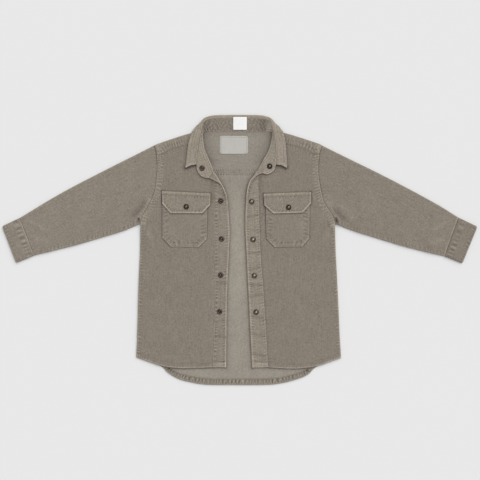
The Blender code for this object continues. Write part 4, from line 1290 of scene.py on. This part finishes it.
def both_halves(rows):
    """Rows of the left half followed by the same rows on the right half."""
    return list(rows) + [tuple(mirrored(p) for p in row) for row in rows[-2::-1]]


def half_row(edge, bend, fold):
    """Half a leaf row, from its edge to its bend: a straight run, or where it folds back a rolled one."""
    run = np.linspace(0, 1, FLAT_STEPS + ROLL_STEPS, endpoint=False)[:, None]
    straight = edge + run * (bend - edge)
    away = edge[:2] - bend[:2]
    reach = np.linalg.norm(away)
    radius = min(abs(edge[2] - bend[2]), ROLL_LIMIT * reach)
    turn = np.linspace(math.pi / 2, 0, ROLL_STEPS, endpoint=False)
    flat = np.linspace(reach, radius, FLAT_STEPS, endpoint=False)
    distance = np.concatenate([flat, radius * (1 - np.cos(turn))])[:, None]
    rise = np.concatenate([np.ones(FLAT_STEPS), np.sin(turn)])[:, None]
    rolled = np.hstack([bend[:2] + away / reach * distance, bend[2] + (edge[2] - bend[2]) * rise])
    return fold * rolled + (1 - fold) * straight


def bent_sheet(rows):
    """Middle surface of the leaf: each row runs from its first edge to its bend and on to its last."""
    surface = []
    for start, bend, end in rows:
        start = np.array(start)
        end = np.array(end)
        bend = np.array([*bend, (start[2] + end[2]) / 2])
        one = (start - bend)[:2]
        other = (end - bend)[:2]
        fold = (1 + one @ other / np.linalg.norm(one) / np.linalg.norm(other)) / 2
        surface.append(np.vstack([half_row(start, bend, fold), bend, half_row(end, bend, fold)[::-1]]))
    return np.array(surface)


def finer(surface):
    """Smooth rows added between the rows of a surface."""
    padded = np.concatenate([2 * surface[:1] - surface[1:2], surface, 2 * surface[-1:] - surface[-2:-1]])
    four = padded[:-3], padded[1:-2], padded[2:-1], padded[3:]
    runs = [between(*four, k / ROW_STEPS) for k in range(ROW_STEPS)]
    rows = np.stack(runs, axis=1).reshape((-1,) + surface.shape[1:])
    return np.concatenate([rows, surface[-1:]])


def recut(surface, step):
    """Each row of a surface cut anew into shares that are closer together at both edges."""
    widest = np.linalg.norm(np.diff(surface, axis=1), axis=2).sum(axis=1).max()
    wanted = shares(widest, step)
    return np.array([at(row, wanted) for row in surface])


def collar_piece(node, middle, marks, up_row):
    """A collar piece about its middle surface; marks give height and tone from place along and across."""
    normal = np.cross(np.gradient(middle, axis=0), np.gradient(middle, axis=1))
    normal /= np.linalg.norm(normal, axis=2, keepdims=True)
    if normal[up_row, middle.shape[1] // 2, 2] < 0:
        normal = -normal
    centre = middle[:, middle.shape[1] // 2]
    along = np.broadcast_to(lengths(centre)[:, None], middle.shape[:2])
    across = running(middle, 1)
    width = across[:, -1:]
    height, shade, rows = marks(along, across, width)
    top = middle + normal * (COLLAR / 2 + height)[..., None]
    top[..., 2] = np.maximum(top[..., 2], 0.0)
    low = middle - normal * (COLLAR / 2)
    cloth = np.stack([across, along], axis=2)
    piece = shell("cloth_" + node, top, low, TONE[node] * (1 + shade), cloth, MATERIALS["corduroy"])
    declare(node, middle)
    for row in rows:
        path = []
        for i in range(len(top)):
            place = row if row > 0 else width[i, 0] + row
            if 0 < place < width[i, 0]:
                path.append([np.interp(place, across[i], top[i, :, k]) for k in range(3)])
        sew(np.array(path) + np.array([0.0, 0.0, COLLAR_STITCH_RISE]))


def pucker(s, d, start, end, rise, pitch, phase):
    """Puckers in a strip beside an edge."""
    inside = np.clip((d - start) / (end - start), 0, 1)
    window = np.sin(math.pi * inside) * (d < end)
    wave = np.sin(2 * math.pi * (s / pitch + 0.4 * np.sin(s / 11 + phase) + d / (3 * pitch)) + phase)
    return rise * window * wave * (0.6 + 0.4 * np.sin(s / 17 + 2 * phase))


def groove(d, place):
    """Depth of the groove along a row of stitches in the collar."""
    return 0.25 * bell(d, place, 0.8)


def stand_marks(s, d, width):
    far = width - d
    ends = np.minimum(s, s.max() - s)
    back = np.clip((ends - BACK_START) / BACK_BLEND, 0, 1)
    front = 1 - back
    cells = (np.sin(s / 0.95 + 1.3 * np.sin(d / 2.9) + 1.5 * np.sin(s / 7.0))
             * np.sin(d / 1.7 + 1.6 * np.sin(s / 4.3) + 0.8 * np.sin(s / 11.0)))
    lines = np.sin(d / 0.75 + np.sin(s / 23.0))
    wave = pucker(s, d, 0, 8, 0.35, 5.0, 1.0) + pucker(s, far, 0, 8, 0.35, 5.2, 2.0)
    height = back * 0.36 * cells + front * 0.1 * lines + wave
    height = height - rim(d, 1.8, 0.5, COLLAR) - rim(far, 1.4, 0.3, COLLAR) - groove(d, STAND_STITCHES[0])
    corner = bell(ends, BACK_CORNER, 13)
    # tone from the relief is painted light and shade; behind the neck the stand is darker, with painted shade
    # deepest at its corners, and painted light along its lower edge evens out the shade there
    tone = 0.4 * wave + back * 0.24 * cells + front * 0.07 * lines
    tone = tone + 0.3 * worn(far, 2.6) * (ends < TAB_LENGTH)
    tone = tone + front * 0.18 * worn(d, 1.8) - back * (0.22 + 0.2 * corner)
    tone = tone + back * 0.4 * bell(d, 0.0, 1.6)
    return height, tone, STAND_STITCHES


def leaf_marks(s, d, width):
    far = width - d
    ends = np.minimum(s, s.max() - s)
    edge = np.minimum(far, ends)
    wave = pucker(s, edge, 0, 8, 0.3, 5.2, 0.4)
    lines = np.sin(d / 0.8 + np.sin(s / 31.0)) * (0.6 + 0.4 * np.sin(s / 13.0 + d / 3.0))
    height = wave + 0.1 * lines - rim(edge, 1.6, 0.6, COLLAR) - rim(d, 1.4, 0.2, COLLAR)
    height = height - groove(edge, -LEAF_STITCHES[0])
    # tone from the puckers and lines of the relief is painted light and shade; the worn edges are paler
    tone = 0.4 * wave + 0.08 * lines + 0.16 * worn(far, 1.4) * (0.7 + 0.5 * np.sin(s / 0.9))
    tone = tone + 0.36 * worn(ends, 2.8) + 0.1 * worn(d, 1.6)
    return height, tone, LEAF_STITCHES


def make_collar():
    rows = both_halves(STAND_ROWS)
    rows[-len(STAND_END):] = STAND_END[::-1]
    stand = np.array([at(row, np.linspace(0, 1, STAND_COLUMNS)) for row in rows])
    stand[:, -1] += JOIN * (stand[:, -1] - stand[:, -2])
    stand = recut(finer(stand), CELL["collar"])
    collar_piece("collar_stand", stand, stand_marks,
                 STAND_UP_ROW)
    leaf = bent_sheet(both_halves(LEAF_ROWS))
    leaf[:, 0] += JOIN * (leaf[:, 0] - leaf[:, 1])
    leaf = recut(finer(leaf), CELL["collar"])
    collar_piece("collar_leaf", leaf, leaf_marks, LEAF_UP_ROW)


# Labels

def label_plan(x0, y0, x1, y1, corner):
    """Plan of a label with four rounded corners, and its border."""
    small = 0.3 * corner
    left = np.array([(x0 + corner, y0), (x0 + small, y0 + small), (x0, y0 + corner),
                     (x0, y1 - corner), (x0 + small, y1 - small), (x0 + corner, y1)])
    right = left * np.array([-1.0, 1.0]) + np.array([x0 + x1, 0.0])
    return ruled(left, right, CELL["label"]), chain(left, right[::-1], left[:1])


def make_labels():
    plan, edge = label_plan(*NECK_LABEL)
    seams = [seam(edge, rows=(1.9,), rim=(0.9, 0.65), wear=(1.0, 0.08))]
    panel("neck_label", plan, on_back, LABEL, seams, "neck_label", slack=level)
    plan, edge = label_plan(*STAND_LABEL)
    seams = [seam(edge, rim=(0.8, 0.65))]
    neck, join = STAND_ROWS[-1]

    def stand_top(x, y):
        share = np.clip((y - neck[1]) / (join[1] - neck[1]), 0, 1)
        return neck[2] + (join[2] - neck[2]) * share + COLLAR / 2 + 2 * GAP
    panel("stand_label", plan, stand_top, LABEL, seams, "stand_label", slack=level)


# Snaps and stitches

SNAP_SEAT = 0.1        # height of a snap over the cloth
STAND_SEAT = STAND_ROWS[3][0][2] + COLLAR / 2


def make_snap(name, kind, centre, height):
    """A turned snap of deep brown antique metal, with highlights painted on its centre and raised rims and
    shade painted in its grooves.
    """
    profile = dense(SNAP_PROFILE[kind])[::PROFILE_STEP]
    profile[0, 0] = 0.0
    turn = np.linspace(0, 2 * math.pi, SNAP_STEPS, endpoint=False)
    rings = []
    for radius, rise in profile[1:]:
        rings.append(np.column_stack([centre[0] + radius * np.cos(turn), centre[1] + radius * np.sin(turn),
                                      np.full(SNAP_STEPS, height + rise)]))
    points = np.vstack(rings + [[(centre[0], centre[1], height + profile[0, 1])],
                                [(centre[0], centre[1], height + profile[-1, 1])]])
    index = np.arange(len(rings) * SNAP_STEPS).reshape(len(rings), SNAP_STEPS)
    top, bottom = len(points) - 2, len(points) - 1
    three = []
    for k in range(SNAP_STEPS):
        after = (k + 1) % SNAP_STEPS
        three.append((top, index[0, after], index[0, k]))
        three.append((bottom, index[-1, k], index[-1, after]))
    piece = mesh_object("turned_" + name, points, quads(index, True), three, METAL)
    # painted highlights and shade by distance from the centre, weaker on some snaps
    highlight = np.interp(np.hypot(*(points[:, :2] - centre).T), *np.array(SNAP_HIGHLIGHT[kind]).T)
    highlight = highlight * SNAP_HIGHLIGHT_DIMMING.get(name, 1.0)
    piece.data.attributes.new("tone", "FLOAT", "POINT").data.foreach_set("value", highlight)
    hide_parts(name)


def make_snaps(tops):
    count = {}
    for side, place, centre, kind in SNAPS:
        key = "snap_" + place + "_" + side
        count[key] = count.get(key, 0) + 1
        name = key + "_" + str(count[key]) if place == "placket" else key
        height = STAND_SEAT
        if place != "stand":
            x, y = np.array(centre)[:, None]
            height = float(tops[place + "_" + side](x, y)[0])
        make_snap(name, kind, centre, height + SNAP_SEAT)


def make_stitches():
    """Every stitch as a small spindle of thread along the cloth."""
    start = np.vstack([a for a, _ in THREADS])
    end = np.vstack([b for _, b in THREADS])
    run = end - start
    run /= np.linalg.norm(run, axis=1, keepdims=True)
    sideways = np.cross(run, np.array([0.0, 0.0, 1.0]))
    sideways /= np.linalg.norm(sideways, axis=1, keepdims=True)
    upward = np.cross(sideways, run)
    down = np.array([0.0, 0.0, -STITCH_DIP])
    points = [start + down]
    for share in (0.25, 0.75):
        middle = start + (end - start) * share
        for a, b in ((1, 0), (0, 1), (-1, 0), (0, -1)):
            points.append(middle + THREAD * (a * sideways + b * upward))
    points.append(end + down)
    points = np.stack(points, axis=1)
    first = (np.arange(len(start)) * 10)[:, None]
    three, four = [], []
    for k in range(4):
        after = (k + 1) % 4
        three.append(first + np.array([[0, 1 + after, 1 + k]]))
        three.append(first + np.array([[9, 5 + k, 5 + after]]))
        four.append(first + np.array([[1 + k, 1 + after, 5 + after, 5 + k]]))
    piece = mesh_object("stitching", points.reshape(-1, 3), np.vstack(four), np.vstack(three), COTTON)


# Stage, in metres

FLOOR_HALF = 4.0
FLOOR_LEVEL = -0.0002
WORLD_LIGHT = 0.52
KEY_LIGHT = 2.1
KEY_ANGLE = math.radians(60)
KEY_FROM = (0.45, 0.75, 0.95)
LENS = 118.4
SENSOR = 36.0
CAMERA_PLACE = (0.0005, 0.0194, 3.0)


def make_stage():
    """Pale floor, soft light from the upper right and a camera that looks straight down."""
    scene = bpy.context.scene
    mesh = bpy.data.meshes.new("floor")
    corners = [(x * FLOOR_HALF, y * FLOOR_HALF, 0) for x, y in ((-1, -1), (1, -1), (1, 1), (-1, 1))]
    mesh.from_pydata(corners, [], [(0, 1, 2, 3)])
    material, _, shader = nodes_of("pale_floor")
    shader.inputs["Base Color"].default_value = (0.80, 0.80, 0.80, 1.0)
    shader.inputs["Roughness"].default_value = 1.0
    shader.inputs["Specular IOR Level"].default_value = 0.0
    mesh.materials.append(material)
    floor = placed("floor", mesh)
    floor.location.z = FLOOR_LEVEL
    world = bpy.data.worlds.new("studio")
    world.use_nodes = True
    background = world.node_tree.nodes["Background"]
    background.inputs[0].default_value = (1.0, 1.0, 1.0, 1.0)
    background.inputs[1].default_value = WORLD_LIGHT
    scene.world = world
    key = bpy.data.lights.new("key", "SUN")
    key.energy = KEY_LIGHT
    key.angle = KEY_ANGLE
    x, y, z = KEY_FROM
    tilt = math.atan2(math.hypot(x, y), z)
    placed("key", key).rotation_euler = (tilt, 0.0, math.atan2(y, x) + math.pi / 2)
    camera = bpy.data.cameras.new("camera")
    camera.lens = LENS
    camera.sensor_width = SENSOR
    scene.camera = placed("camera", camera)
    scene.camera.location = CAMERA_PLACE
    scene.view_settings.view_transform = "Standard"


make_stage()
make_back()
make_back_hem()
make_yoke()
TOPS = {}
for SIDE in SIDES:
    make_front(SIDE)
    TOPS["placket_" + SIDE] = make_placket(SIDE)
    make_placket_facing(SIDE)
    make_pocket(SIDE)
    TOPS["flap_" + SIDE] = make_flap(SIDE)
    make_sleeve(SIDE)
    make_cuff(SIDE)
make_collar()
make_labels()
make_snaps(TOPS)
make_stitches()
